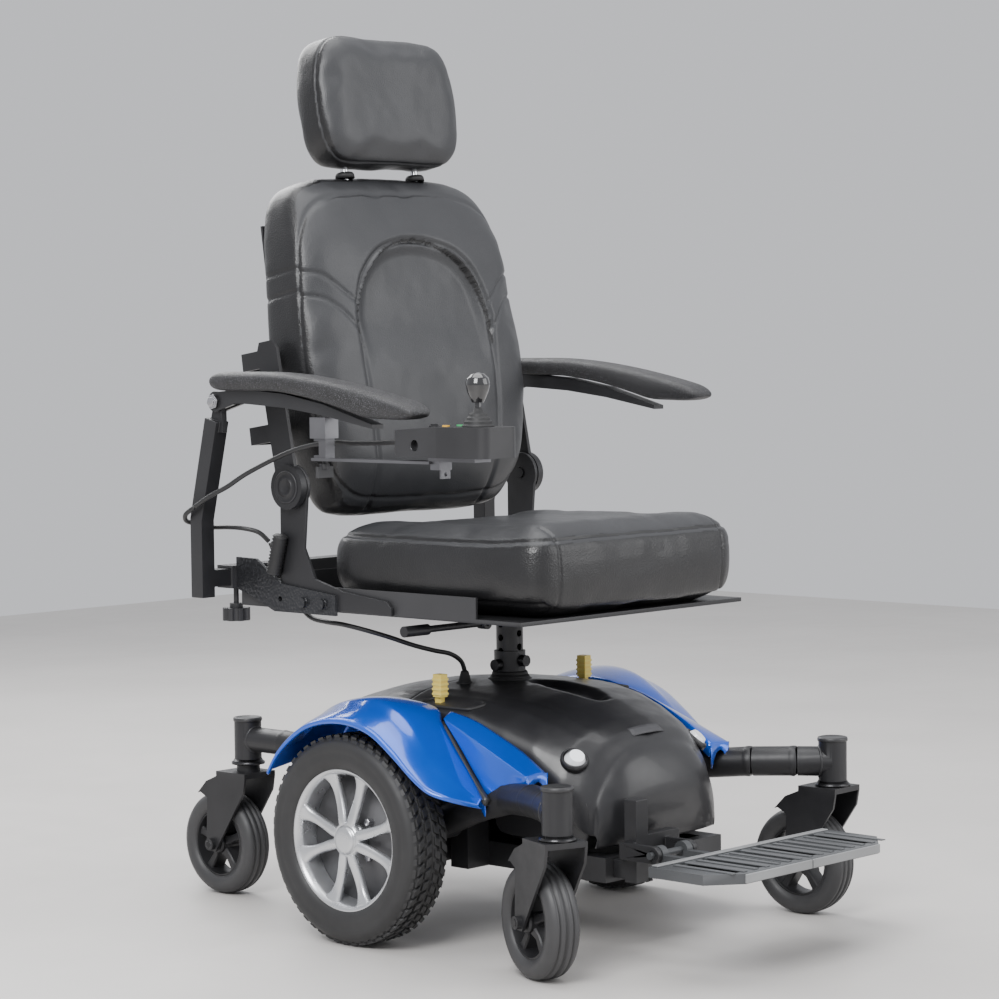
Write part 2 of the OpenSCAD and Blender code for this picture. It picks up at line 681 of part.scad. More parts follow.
module back_cushion() color([0.2, 0.2, 0.22]) in_back() {
    difference() {
        intersection() {
            side_slab(-300, 300, back_side);
            front_slab(-200, 200, back_half);
        }
        for (side = [-1, 1]) on_side(side) {
            translate([rod_x, rod_y, 170]) cylinder(h = 400, r = 10.5);
            block([rod_x - 8, rod_y, 240], [rod_x + 8, 100, 350]);
        }
    }
}

module headrest_rods() color([0.8, 0.8, 0.82]) in_back() {
    for (side = [-1, 1]) translate([side * rod_x, rod_y, 200]) cylinder(h = 345, r = rod_r);
}

module headrest_cushion() color([0.2, 0.2, 0.22]) in_back() {
    half = headrest_w / 2;
    difference() {
        intersection() {
            side_slab(-300, 300, [[-34, 488], [-52, 510], [-58, 570], [-52, 630], [-32, 674], [-4, 682], [24, 670],
                                  [38, 620], [38, 540], [22, 496], [6, 486]]);
            front_slab(-200, 200, [[-half + 30, 480], [-half + 4, 510], [-half, 570], [-half + 10, 650],
                                   [-half + 50, 682], [half - 50, 682], [half - 10, 650], [half, 570],
                                   [half - 4, 510], [half - 30, 480]]);
        }
        for (side = [-1, 1]) translate([side * rod_x, rod_y, 400]) cylinder(h = 145, r = rod_r);
    }
}

// ---------- armrests ----------

function arm_lift(side) = side > 0 ? arm_left_raise : 0;

module arm_post(side) color([0.08, 0.08, 0.085]) in_frame() on_side(side) {
    w = tube_w - 2 * GAP;
    x = arm_x - 3;
    top = arm_pivot_z + arm_lift(side);
    difference() {
        union() {
            side_slab(x - 5, x + 5, [[arm_pivot_y - 8, top + 4], [arm_pivot_y - 9, top - 46],
                                     [arm_pivot_y + 22, top - 46], [arm_pivot_y + 8, top + 4]]);
            x_rod(x - 5, x + 5, 9, arm_pivot_y, top);
            side_slab(x - w / 2, x + w / 2, [[arm_pivot_y - 4, top - 30], [arm_pivot_y + 21, top - 24],
                                             [post_bend[0] + w / 2, post_bend[1] + 4],
                                             [post_bend[0] + w / 2, 483], [post_bend[0] - w / 2, 483],
                                             [post_bend[0] - w / 2, post_bend[1]]]);
            block([200, cross_y - w / 2, cross_z - w / 2], [x - 5, cross_y + w / 2, cross_z + w / 2]);
        }
        x_rod(x - 20, x + 20, 5 + RUN, arm_pivot_y, top);
    }
}

module arm_post_right() arm_post(-1);
module arm_post_left() arm_post(1);

module arm_knob(side) color([0.06, 0.06, 0.065]) in_frame() on_side(side)
    translate([240, cross_y, 0]) {
        translate([0, 0, 460]) cylinder(h = cross_z - tube_w / 2 - 462, r = 4);
        translate([0, 0, 462]) cylinder(h = 8, r = 10);
        difference() {
            translate([0, 0, 444]) cylinder(h = 19, r = 21);
            for (i = [0 : 7]) rotate([0, 0, 45 * i]) translate([24, 0, 440]) cylinder(h = 30, r = 6);
        }
    }

module arm_knob_right() arm_knob(-1);
module arm_knob_left() arm_knob(1);

module arm_bar(side) color([0.1, 0.1, 0.105]) in_frame() on_side(side)
    translate([arm_x - 3, arm_pivot_y, arm_pivot_z + arm_lift(side)]) {
        for (s = [-1, 1]) {
            x_rod(s > 0 ? 5.5 : -11, s > 0 ? 11 : -5.5, 15, 0, 0);
            side_slab(s > 0 ? 5.5 : -11, s > 0 ? 11 : -5.5, [[-2, 14], [-40, 17], [-40, -4], [-4, -14]]);
        }
        side_slab(-11, 11, [[-24, 17], [-24, -2], [-70, -3], [-150, -8], [-230, -18], [-330, -36], [-330, -30],
                            [-230, -2], [-150, 12], [-80, 17]]);
        x_rod(-14, 14, 5, 0, 0);
        x_rod(11, 14, 9, 0, 0);
        x_rod(-14, -11, 9, 0, 0);
    }

module arm_bar_right() arm_bar(-1);
module arm_bar_left() arm_bar(1);

module arm_pad(side) color([0.16, 0.16, 0.17]) in_frame() on_side(side)
    translate([arm_x, arm_pivot_y, arm_pivot_z + arm_lift(side)])
        intersection() {
            side_slab(-pad_w / 2, pad_w / 2, [
                [-8, 19], [0, 25], [6, 34], [2, 41], [-18, 43], [-80, 44], [-160, 41], [-240, 33], [-330, 19],
                [-390, 4], [-418, -5], [-424, -15], [-412, -21], [-370, -21], [-330, -20], [-280, -7],
                [-230, 4], [-150, 16], [-80, 19]]);
            linear_extrude(height = 200, center = true) polygon([
                [-pad_w / 2, -408], [-pad_w / 2 + 14, -428], [pad_w / 2 - 14, -428], [pad_w / 2, -408],
                [pad_w / 2, -6], [pad_w / 2 - 12, 10], [-pad_w / 2 + 12, 10], [-pad_w / 2, -6]]);
        }

module arm_pad_right() arm_pad(-1);
module arm_pad_left() arm_pad(1);

// ---------- controller ----------

ctrl_x = -(arm_x - 10);

module controller_bracket() color([0.3, 0.3, 0.31]) in_frame() {
    x = -(arm_x - 3);
    difference() {
        union() {
            block([x - 13, 18, 724], [x + 13, 50, 754]);
            block([x - 9, 22, 696], [x + 9, 46, 724]);
            block([x - 11, -185, 692], [x + 11, 50, 696]);
            block([ctrl_x - 12, -200, 684], [ctrl_x + 12, -182, 696]);
            block([ctrl_x - 9, -200, 672], [ctrl_x + 9, -197, 688]);
            block([ctrl_x - 16, -270, 696], [ctrl_x + 16, -182, 702]);
        }
        block([x - 20, 36, 700], [x + 20, 60, 720]);
        translate([ctrl_x, -190, 678]) rotate([90, 0, 0]) cylinder(h = 20, r = 3);
        translate([x, 34, 690]) cylinder(h = 6.5, r = 3.2);
    }
}

module bracket_knob() color([0.12, 0.12, 0.13]) in_frame() {
    x = -(arm_x - 3);
    translate([x, 34, 688]) cylinder(h = 7.5, r = 3);
    translate([x, 34, 680]) cylinder(h = 8, r = 7);
    block([x - 15, 31.5, 668], [x + 15, 36.5, 684]);
}

module controller_housing() color([0.08, 0.08, 0.085]) in_frame() {
    difference() {
        hull() for (p = [[-18, -128, 6], [18, -128, 6], [-26, -220, 12], [26, -220, 12], [-20, -290, 16],
                         [20, -290, 16]])
            translate([ctrl_x + p[0], p[1], 702]) cylinder(h = p[1] < -200 ? 42 : 36, r = p[2], $fn = 32);
        translate([ctrl_x, stick_y, 732]) cylinder(h = 20, r = 15);
        translate([ctrl_x + 14, -215, 738]) cylinder(h = 20, r = 5.5);
        translate([ctrl_x - 14, -215, 738]) cylinder(h = 20, r = 5.5);
        translate([ctrl_x, -180, 734]) cylinder(h = 20, r = 9);
        // charging socket in the outer side
        translate([ctrl_x - 60, -170, 718]) rotate([0, 90, 0]) cylinder(h = 40, r = 8);
    }
    translate([ctrl_x, -124, 720]) rotate([-90, 0, 0]) cylinder(h = 16, r = 6);
}

// Yoke ring that rocks inside the housing
module joystick_gimbal() color([0.05, 0.05, 0.055]) in_frame() translate([ctrl_x, stick_y, stick_z]) {
    rotate_extrude() polygon([[9, -2], [13.5, -2], [13.5, 2], [9, 2]]);
}

// Stick, boot skirt and pear-shaped knob, clear of the housing at full tilt
module joystick_knob() color([0.04, 0.04, 0.045]) in_frame() translate([ctrl_x, stick_y, stick_z]) {
    translate([0, 0, 2.5]) cylinder(h = 42, r = 4);
    translate([0, 0, 7]) cylinder(h = 15, r1 = 13, r2 = 6);
    rotate_extrude() polygon([[0, 33], [8, 33], [11, 39], [15, 49], [17, 58], [15, 66], [9, 72], [0, 74]]);
}

module top_button(x, y) {
    translate([x, y, 739.5]) cylinder(h = 6.5, r = 5.2);
}

module on_off_button() color([0.1, 0.45, 0.2]) in_frame() top_button(ctrl_x + 14, -215);
module horn_button() color([0.75, 0.55, 0.1]) in_frame() top_button(ctrl_x - 14, -215);

module speed_dial() color([0.15, 0.15, 0.16]) in_frame() translate([ctrl_x, -180, 0]) {
    translate([0, 0, 734.5]) cylinder(h = 10, r = 8.5);
    block([-1.2, -7, 744], [1.2, 7, 747]);
}

module lead_arm() color([0.05, 0.05, 0.05]) in_frame() lead(LEAD_ARM);
module lead_post() color([0.05, 0.05, 0.05]) in_frame() lead(LEAD_POST);
module lead_drop() color([0.05, 0.05, 0.05]) in_frame() lead(LEAD_DROP);

chassis_frame();
shroud_hood();
shroud_tail();
fender_right();
fender_left();
batteries();
gearmotor_right();
gearmotor_left();
control_module();
post_inner();
post_bolts();
head_lamps();
footrest_bracket();
front_arm_right();
front_arm_left();
fork_front_right();
fork_front_left();
fork_rear_right();
fork_rear_left();
caster_front_right();
caster_front_left();
caster_rear_right();
caster_rear_left();
drive_tyre_right();
drive_tyre_left();
drive_rim_right();
drive_rim_left();
drive_shaft_right();
drive_shaft_left();
freewheel_lever_right();
freewheel_lever_left();
footplate();
seat_frame();
seat_cushion();
recliner_plates();
side_brackets();
swivel_lever();
back_frame();
back_cushion();
headrest_rods();
headrest_cushion();
arm_post_right();
arm_post_left();
arm_knob_right();
arm_knob_left();
arm_bar_right();
arm_bar_left();
arm_pad_right();
arm_pad_left();
controller_bracket();
bracket_knob();
controller_housing();
joystick_gimbal();
joystick_knob();
on_off_button();
horn_button();
speed_dial();
lead_arm();
lead_post();
lead_drop();
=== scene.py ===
"""Looks of a power wheelchair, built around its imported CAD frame."""
import math

import bmesh
import bpy
from mathutils import Matrix, Vector, noise


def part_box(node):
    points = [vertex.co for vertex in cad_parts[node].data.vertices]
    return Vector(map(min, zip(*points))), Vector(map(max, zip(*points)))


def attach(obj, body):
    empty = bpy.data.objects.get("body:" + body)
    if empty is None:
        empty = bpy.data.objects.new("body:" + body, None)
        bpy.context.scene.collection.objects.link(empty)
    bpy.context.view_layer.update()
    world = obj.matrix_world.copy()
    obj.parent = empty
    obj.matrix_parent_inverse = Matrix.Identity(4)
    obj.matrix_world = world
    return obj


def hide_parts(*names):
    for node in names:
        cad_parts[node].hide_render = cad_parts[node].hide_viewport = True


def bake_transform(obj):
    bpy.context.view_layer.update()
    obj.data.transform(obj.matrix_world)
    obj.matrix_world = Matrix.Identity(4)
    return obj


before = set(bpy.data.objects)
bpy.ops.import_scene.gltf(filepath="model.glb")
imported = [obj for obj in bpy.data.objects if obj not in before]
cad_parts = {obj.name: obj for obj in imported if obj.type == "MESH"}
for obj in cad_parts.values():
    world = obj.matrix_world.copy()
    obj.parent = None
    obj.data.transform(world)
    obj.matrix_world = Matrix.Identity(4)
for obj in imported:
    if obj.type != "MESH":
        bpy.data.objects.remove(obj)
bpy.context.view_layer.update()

SIDES = (("right", -1), ("left", 1))
shaft_low, shaft_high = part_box("drive_shaft_right")
AXLE_Y = (shaft_low.y + shaft_high.y) / 2
BACK_LEAN = math.radians(8)


def mm(x, y, z):
    """A point given in millimetres from the drive axle, in the row frame."""
    return Vector((x / 1000, y / 1000 + AXLE_Y, z / 1000))


HINGE = mm(0, 162, 649)


def back(x, y, z):
    """A point on the reclining back: up is along the back, from its hinge."""
    c, s = math.cos(BACK_LEAN), math.sin(BACK_LEAN)
    return HINGE + Vector((x, y * c + z * s, -y * s + z * c)) / 1000


# ---------- camera, light and floor ----------
cam = bpy.data.objects.new("camera", bpy.data.cameras.new("camera"))
bpy.context.scene.collection.objects.link(cam)
cam.location = (-3.160, -2.943, 0.866)
CAMERA_TARGET = Vector((0.022, 0.0415, 0.622))
CAMERA_ROLL = -0.0115
aim = (CAMERA_TARGET - cam.location).to_track_quat("-Z", "Y").to_matrix().to_4x4()
cam.rotation_euler = (aim @ Matrix.Rotation(CAMERA_ROLL, 4, "Z")).to_euler()
cam.data.lens = 105.1
cam.data.sensor_width = 36
cam.data.clip_start = 0.1
bpy.context.scene.camera = cam


def area(name, place, size, power, target=(0, 0, 0.6)):
    light = bpy.data.objects.new(name, bpy.data.lights.new(name, "AREA"))
    light.data.energy, light.data.size = power, size
    light.location = place
    light.rotation_euler = (Vector(target) - Vector(place)).to_track_quat("-Z", "Y").to_euler()
    bpy.context.scene.collection.objects.link(light)


area("key", (-2.6, -1.2, 2.6), 1.6, 120)
area("fill", (1.6, -3.0, 1.8), 2.6, 60)
area("rim", (0.6, 2.6, 2.6), 2.2, 90)
area("top", (0, 0, 3.4), 2.4, 70)
world = bpy.data.worlds.new("studio")
bpy.context.scene.world = world
world.use_nodes = True
world.node_tree.nodes["Background"].inputs[0].default_value = (0.95, 0.96, 1, 1)
world.node_tree.nodes["Background"].inputs[1].default_value = 0.75


# ---------- materials ----------
MATS = {}


def finish(name, base, rough=0.5, metal=0.0, vary=0.12, vary_scale=9, bump=((900, 0.1, 0.0002),),
           kind="noise", rough_vary=0.12, wear=0.0, coat=0.0, speck=None, glow=0.0):
    """A procedural finish: mottled colour, uneven roughness, layered relief and rubbed edges.

    Each layer of bump is a scale, a strength and a depth in metres, and kind shapes the first layer.
    speck is a colour, a scale and the noise level where the specks start."""
    material = bpy.data.materials.new(name)
    material.use_nodes = True
    tree = material.node_tree
    shader = tree.nodes["Principled BSDF"]
    place = tree.nodes.new("ShaderNodeTexCoord").outputs["Object"]

    def texture(node_kind, scale, detail=None):
        node = tree.nodes.new(node_kind)
        node.inputs["Scale"].default_value = scale
        if detail is not None:
            node.inputs["Detail"].default_value = detail
        tree.links.new(place, node.inputs["Vector"])
        return node

    def ramp(value, low, high):
        node = tree.nodes.new("ShaderNodeValToRGB")
        ends = node.color_ramp.elements
        ends[0].position, ends[1].position = low, high
        tree.links.new(value, node.inputs["Fac"])
        return node

    def cover(mask, under, colour):
        node = tree.nodes.new("ShaderNodeMix")
        node.data_type = "RGBA"
        tree.links.new(mask, node.inputs[0])
        tree.links.new(under, node.inputs[6])
        node.inputs[7].default_value = (*colour, 1)
        return node.outputs[2]

    mottle = ramp(texture("ShaderNodeTexNoise", vary_scale, 5).outputs["Fac"], 0.32, 0.68)
    mottle.color_ramp.elements[0].color = (*[c * (1 - vary) for c in base], 1)
    mottle.color_ramp.elements[1].color = (*[min(1, c * (1 + vary) + 0.004) for c in base], 1)
    colour = mottle.outputs["Color"]
    if speck:
        fleck, scale, level = speck
        mask = ramp(texture("ShaderNodeTexNoise", scale, 2).outputs["Fac"], level, level + 0.06)
        colour = cover(mask.outputs["Color"], colour, fleck)
    if wear:
        edges = ramp(tree.nodes.new("ShaderNodeNewGeometry").outputs["Pointiness"], 0.53, 0.62)
        rubbed = tree.nodes.new("ShaderNodeMath")
        rubbed.operation = "MULTIPLY"
        rubbed.inputs[1].default_value = wear
        tree.links.new(edges.outputs["Color"], rubbed.inputs[0])
        colour = cover(rubbed.outputs[0], colour, [min(1, c * 2.2 + 0.08) for c in base])
    tree.links.new(colour, shader.inputs["Base Color"])

    polish = tree.nodes.new("ShaderNodeMapRange")
    polish.inputs["To Min"].default_value = max(0.02, rough - rough_vary)
    polish.inputs["To Max"].default_value = min(1, rough + rough_vary)
    smears = texture("ShaderNodeTexNoise", vary_scale * 6, 4)
    tree.links.new(smears.outputs["Fac"], polish.inputs["Value"])
    tree.links.new(polish.outputs[0], shader.inputs["Roughness"])
    shader.inputs["Metallic"].default_value = metal
    shader.inputs["Coat Weight"].default_value = coat
    shader.inputs["Coat Roughness"].default_value = 0.06
    if glow:
        shader.inputs["Emission Color"].default_value = (1, 1, 1, 1)
        shader.inputs["Emission Strength"].default_value = glow

    normal = None
    for layer, (scale, strength, depth) in enumerate(bump):
        if layer == 0 and kind in ("grain", "hammer"):
            relief = texture("ShaderNodeTexVoronoi", scale)
            if kind == "hammer":
                relief.feature = "SMOOTH_F1"
            height = relief.outputs["Distance"]
        else:
            height = texture("ShaderNodeTexNoise", scale, 6).outputs["Fac"]
        raised = tree.nodes.new("ShaderNodeBump")
        raised.inputs["Strength"].default_value = strength
        raised.inputs["Distance"].default_value = depth
        tree.links.new(height, raised.inputs["Height"])
        if normal:
            tree.links.new(normal, raised.inputs["Normal"])
        normal = raised.outputs["Normal"]
    tree.links.new(normal, shader.inputs["Normal"])
    MATS[name] = material


finish("frame_black", (0.018, 0.018, 0.02), 0.42, 0.2, bump=((1400, 0.25, 0.0003),), wear=0.25)
finish("shroud_black", (0.016, 0.016, 0.018), 0.36, 0, bump=((1800, 0.3, 0.00025), (60, 0.05, 0.002)),
       wear=0.1, coat=0.15)
finish("fender_blue", (0.0, 0.09, 0.62), 0.2, 0.35, vary=0.08, rough_vary=0.05,
       bump=((22, 0.03, 0.002), (2500, 0.05, 0.0001)), coat=1.0)
finish("battery_case", (0.05, 0.05, 0.055), 0.6)
finish("motor_grey", (0.09, 0.09, 0.095), 0.5, 0.5, wear=0.3)
finish("module_black", (0.03, 0.03, 0.032), 0.5)
finish("bolt_black", (0.03, 0.03, 0.032), 0.3, 0.8, wear=0.4)
finish("lamp_clear", (0.85, 0.88, 0.92), 0.12, 0, vary=0.04, bump=((500, 0.2, 0.0005),), coat=1.0, glow=0.25)
finish("caster_rubber", (0.035, 0.035, 0.037), 0.5, 0, bump=((700, 0.3, 0.0004), (90, 0.1, 0.001)),
       wear=0.15)
finish("tyre_rubber", (0.02, 0.02, 0.021), 0.55, 0, bump=((900, 0.35, 0.0004), (120, 0.15, 0.001)), wear=0.12)
finish("rim_silver", (0.62, 0.63, 0.65), 0.3, 0.85, vary=0.05, bump=((2200, 0.12, 0.0001),), wear=0.15)
finish("steel", (0.5, 0.5, 0.52), 0.3, 1.0, bump=((400, 0.1, 0.0003),))
finish("lever_yellow", (0.82, 0.62, 0.12), 0.42, 0, vary=0.06, bump=((1200, 0.2, 0.0003),), wear=0.3)
finish("plate_grey", (0.055, 0.058, 0.062), 0.42, 0.1, bump=((1300, 0.4, 0.0004),), wear=0.35)
finish("plate_edge", (0.25, 0.255, 0.26), 0.45, 0.3, bump=((900, 0.3, 0.0004),), wear=0.3)
finish("vinyl", (0.03, 0.031, 0.034), 0.42, 0, vary=0.07, vary_scale=5, kind="grain",
       bump=((620, 0.35, 0.0006), (55, 0.12, 0.0015)), rough_vary=0.08, coat=0.05)
# the second vinyl below is painted shade: a darker copy of the same vinyl for the side faces of the cushions, where the
# shade falls
finish("vinyl_side_painted_shade", (0.009, 0.009, 0.01), 0.36, 0, vary=0.15, vary_scale=6, kind="grain",
       bump=((420, 0.45, 0.0008), (38, 0.2, 0.002)), rough_vary=0.1, coat=0.08)
finish("hammered", (0.035, 0.036, 0.04), 0.32, 0.6, kind="hammer",
       bump=((260, 0.9, 0.0012), (900, 0.2, 0.0003)), wear=0.5)
finish("chrome", (0.72, 0.73, 0.75), 0.1, 1.0, vary=0.03, rough_vary=0.05, bump=((200, 0.03, 0.0003),))
finish("pad_skin", (0.014, 0.014, 0.015), 0.55, 0, kind="grain", bump=((800, 0.6, 0.0007), (60, 0.1, 0.001)),
       speck=((0.11, 0.11, 0.12), 900, 0.58))
finish("arm_black", (0.022, 0.022, 0.024), 0.36, 0.1, bump=((1400, 0.3, 0.0003),), wear=0.25)
finish("controller_black", (0.02, 0.02, 0.022), 0.4, 0, bump=((2000, 0.3, 0.0003),), wear=0.2)
finish("rubber_boot", (0.02, 0.02, 0.021), 0.6, 0, bump=((1500, 0.3, 0.0003),))
finish("knob_gloss", (0.01, 0.01, 0.011), 0.1, 0, rough_vary=0.04, bump=((30, 0.02, 0.001),), coat=1.0)
finish("button_green", (0.05, 0.4, 0.14), 0.4)
finish("button_amber", (0.8, 0.45, 0.05), 0.4)
finish("lead_black", (0.014, 0.014, 0.015), 0.42, 0, bump=((600, 0.2, 0.0004),))
finish("zinc", (0.16, 0.16, 0.17), 0.42, 0.9, kind="hammer", bump=((350, 0.1, 0.0004),), wear=0.3)
finish("floor", (0.62, 0.6, 0.58), 0.45, 0, vary=0.04, vary_scale=2, bump=((40, 0.05, 0.001),))

bpy.ops.mesh.primitive_plane_add(size=9, location=(0, 0, 0))
floor = bpy.context.object
floor.name = "floor"
floor.data.materials.append(MATS["floor"])


# ---------- making pieces ----------
BOX_FACES = ((0, 1, 3, 2), (4, 6, 7, 5), (0, 4, 5, 1), (2, 3, 7, 6), (0, 2, 6, 4), (1, 5, 7, 3))


def smooth(obj, bevel, levels):
    """Rounds an object's hard edges by bevel, in millimetres, and shades it smooth."""
    if bevel:
        b = obj.modifiers.new("bevel", "BEVEL")
        b.width, b.segments = bevel / 1000, 3
        b.limit_method, b.angle_limit = "ANGLE", math.radians(32)
        b.use_clamp_overlap = True
        b.harden_normals = True
    if levels:
        s = obj.modifiers.new("round", "SUBSURF")
        s.levels = s.render_levels = levels
    for f in obj.data.polygons:
        f.use_smooth = True


def new_object(name, mesh_data):
    """Puts what a bmesh holds into a new object of the scene."""
    mesh = bpy.data.meshes.new(name)
    mesh_data.to_mesh(mesh)
    mesh_data.free()
    obj = bpy.data.objects.new(name, mesh)
    bpy.context.scene.collection.objects.link(obj)
    return obj


class Maker:
    """Collects solids in one mesh."""

    def __init__(self, name):
        self.name, self.bm = name, bmesh.new()

    def block(self, corners):
        """A six-sided solid by eight corners, where the last axis of the corners changes fastest."""
        v = [self.bm.verts.new(p) for p in corners]
        for f in BOX_FACES:
            self.bm.faces.new([v[i] for i in f])

    def box(self, low, high):
        """A box by two corners in millimetres."""
        xs, ys, zs = zip(low, high)
        self.block([mm(x, y, z) for x in xs for y in ys for z in zs])

    def turned(self, a, b, profile, seg=32, loop=False):
        """A solid turned about the line a to b; profile is (distance along, radius), in millimetres.
        With loop the profile closes on itself and leaves its middle open."""
        a, b = Vector(a), Vector(b)
        z = (b - a).normalized()
        x = z.orthogonal().normalized()
        y = z.cross(x)
        rings = []
        for d, r in profile:
            c = a + z * d / 1000
            if r < 1e-6:
                rings.append([self.bm.verts.new(c)])
            else:
                rings.append([self.bm.verts.new(c + (x * math.cos(t) + y * math.sin(t)) * r / 1000)
                              for t in (2 * math.pi * k / seg for k in range(seg))])
        for p, q in zip(rings, rings[1:] + rings[:1] if loop else rings[1:]):
            for k in range(seg):
                n = (k + 1) % seg
                if len(p) == 1 and len(q) == 1:
                    continue
                if len(p) == 1:
                    self.bm.faces.new((p[0], q[k], q[n]))
                elif len(q) == 1:
                    self.bm.faces.new((p[k], p[n], q[0]))
                else:
                    self.bm.faces.new((p[k], p[n], q[n], q[k]))
        for end in (rings[0], rings[-1]):
            if len(end) > 1 and not loop:
                self.bm.faces.new(end)

    def tube(self, points, r, seg=12, closed=False):
        """A round tube along points that are already in the row frame."""
        n = len(points)
        rings, side = [], None
        for i, p in enumerate(points):
            before, after = (i - 1, (i + 1) % n) if closed else (max(i - 1, 0), min(i + 1, n - 1))
            t = points[after] - points[before]
            t.normalize()
            side = t.orthogonal() if side is None else side - t * side.dot(t)
            side.normalize()
            up = t.cross(side)
            rings.append([self.bm.verts.new(p + (side * math.cos(a) + up * math.sin(a)) * r / 1000)
                          for a in (2 * math.pi * k / seg for k in range(seg))])
        for i in range(n if closed else n - 1):
            p, q = rings[i], rings[(i + 1) % n]
            for k in range(seg):
                self.bm.faces.new((p[k], p[(k + 1) % seg], q[(k + 1) % seg], q[k]))
        if not closed:
            self.bm.faces.new(rings[0])
            self.bm.faces.new(rings[-1])

    def grid(self, rows, close_u=False, cap=False):
        """A surface through rows of points; each row has the same count."""
        vs = [[self.bm.verts.new(p) for p in row] for row in rows]
        w = len(vs[0])
        for a, b in zip(vs, vs[1:]):
            for k in range(w if close_u else w - 1):
                self.bm.faces.new((a[k], a[(k + 1) % w], b[(k + 1) % w], b[k]))
        if cap:
            self.bm.faces.new(vs[0])
            self.bm.faces.new(vs[-1])

    def done(self, mat, body, bevel=0.0, levels=0, stands_for=(), thick=0.0):
        """Makes the object: a skin gets a wall of thick, in millimetres, and it rides on body."""
        bmesh.ops.recalc_face_normals(self.bm, faces=self.bm.faces)
        obj = new_object(self.name, self.bm)
        obj.data.materials.append(MATS[mat])
        if thick:
            s = obj.modifiers.new("wall", "SOLIDIFY")
            s.thickness, s.offset = thick / 1000, -1
        smooth(obj, bevel, levels)
        if stands_for:
            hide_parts(*stands_for)
        if body:
            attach(obj, body)
        return obj


def spline(points, steps=6):
    """A smooth line through points in the row frame."""
    out = []
    n = len(points)
    for i in range(n - 1):
        a, b, c, d = (points[max(0, min(n - 1, j))] for j in (i - 1, i, i + 1, i + 2))
        slope, bend, twist = c - a, 2 * a - 5 * b + 4 * c - d, 3 * b - a - 3 * c + d
        for s in range(steps):
            t = s / steps
            out.append(((2 * b) + slope * t + bend * t * t + twist * t ** 3) / 2)
    return out + [points[-1]]


def dress(node, mat, bevel):
    """A carried-over CAD node: edges rounded by bevel, in millimetres, and a real finish."""
    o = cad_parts[node]
    o.data.materials.clear()
    o.data.materials.append(MATS[mat])
    w = o.modifiers.new("weld", "WELD")
    w.merge_threshold = 0.00002
    b = o.modifiers.new("bevel", "BEVEL")
    b.width, b.segments = bevel / 1000, 2
    b.limit_method, b.angle_limit = "ANGLE", math.radians(38)
    n = o.modifiers.new("normals", "WEIGHTED_NORMAL")
    n.keep_sharp = False


FINISH = dict(
    chassis_frame="frame_black", batteries="battery_case", control_module="module_black",
    post_inner="frame_black", post_bolts="bolt_black", head_lamps="lamp_clear",
    footrest_bracket="frame_black", footplate="plate_grey", seat_frame="frame_black",
    recliner_plates="frame_black", side_brackets="hammered", swivel_lever="frame_black",
    back_frame="frame_black", headrest_rods="chrome", controller_bracket="zinc",
    bracket_knob="controller_black", controller_housing="controller_black",
    joystick_gimbal="rubber_boot", joystick_knob="knob_gloss", on_off_button="button_green",
    horn_button="button_amber", speed_dial="controller_black")
SIDE_FINISH = dict(
    gearmotor="motor_grey", front_arm="frame_black", fork_front="frame_black", fork_rear="frame_black",
    drive_shaft="steel", freewheel_lever="lever_yellow", arm_post="frame_black",
    arm_knob="controller_black", arm_bar="arm_black")
SMALL_NODES = ("on_off_button", "horn_button", "speed_dial", "joystick_gimbal")
for side, _ in SIDES:
    FINISH.update({f"{node}_{side}": mat for node, mat in SIDE_FINISH.items()})
for node, mat in FINISH.items():
    dress(node, mat, 0.6 if node in SMALL_NODES else 1.2)


# ---------- upholstery ----------
def ease(a, b, t):
    t = max(0, min(1, (t - a) / (b - a)))
    return t * t * (3 - 2 * t)


def cushion(name, outline, low, high, crown, at, soften=0.16, seg=96, rings=14):
    """A closed cushion: outline in its plane, from depth `low` to depth `high`, crowned on both faces."""
    m = Maker(name)
    cx = sum(p[0] for p in outline) / len(outline)
    cy = sum(p[1] for p in outline) / len(outline)
    line = spline([Vector((p[0], p[1], 0)) for p in outline + outline[:1]], 8)[:-1]
    step = len(line) / seg
    line = [line[int(i * step)] for i in range(seg)]
    rows = []
    half, mid = (high - low) / 2, (high + low) / 2
    for j in range(2 * rings + 1):
        a = math.pi * j / (2 * rings)
        c, s = math.cos(a), math.sin(a)
        depth = (abs(c) ** (soften * 2)) * (1 if c > 0 else -1)
        reach = abs(s) ** (soften * 2)
        k = reach if 0 < j < 2 * rings else 0.02
        swell = (crown[0] if c > 0 else -crown[1]) * (1 - k * k)
        level = mid + half * depth + swell
        rows.append([at(cx + (p.x - cx) * k, cy + (p.y - cy) * k, level) for p in line])
    m.grid(rows, close_u=True, cap=True)
    bmesh.ops.recalc_face_normals(m.bm, faces=m.bm.faces)
    return new_object(name, m.bm)


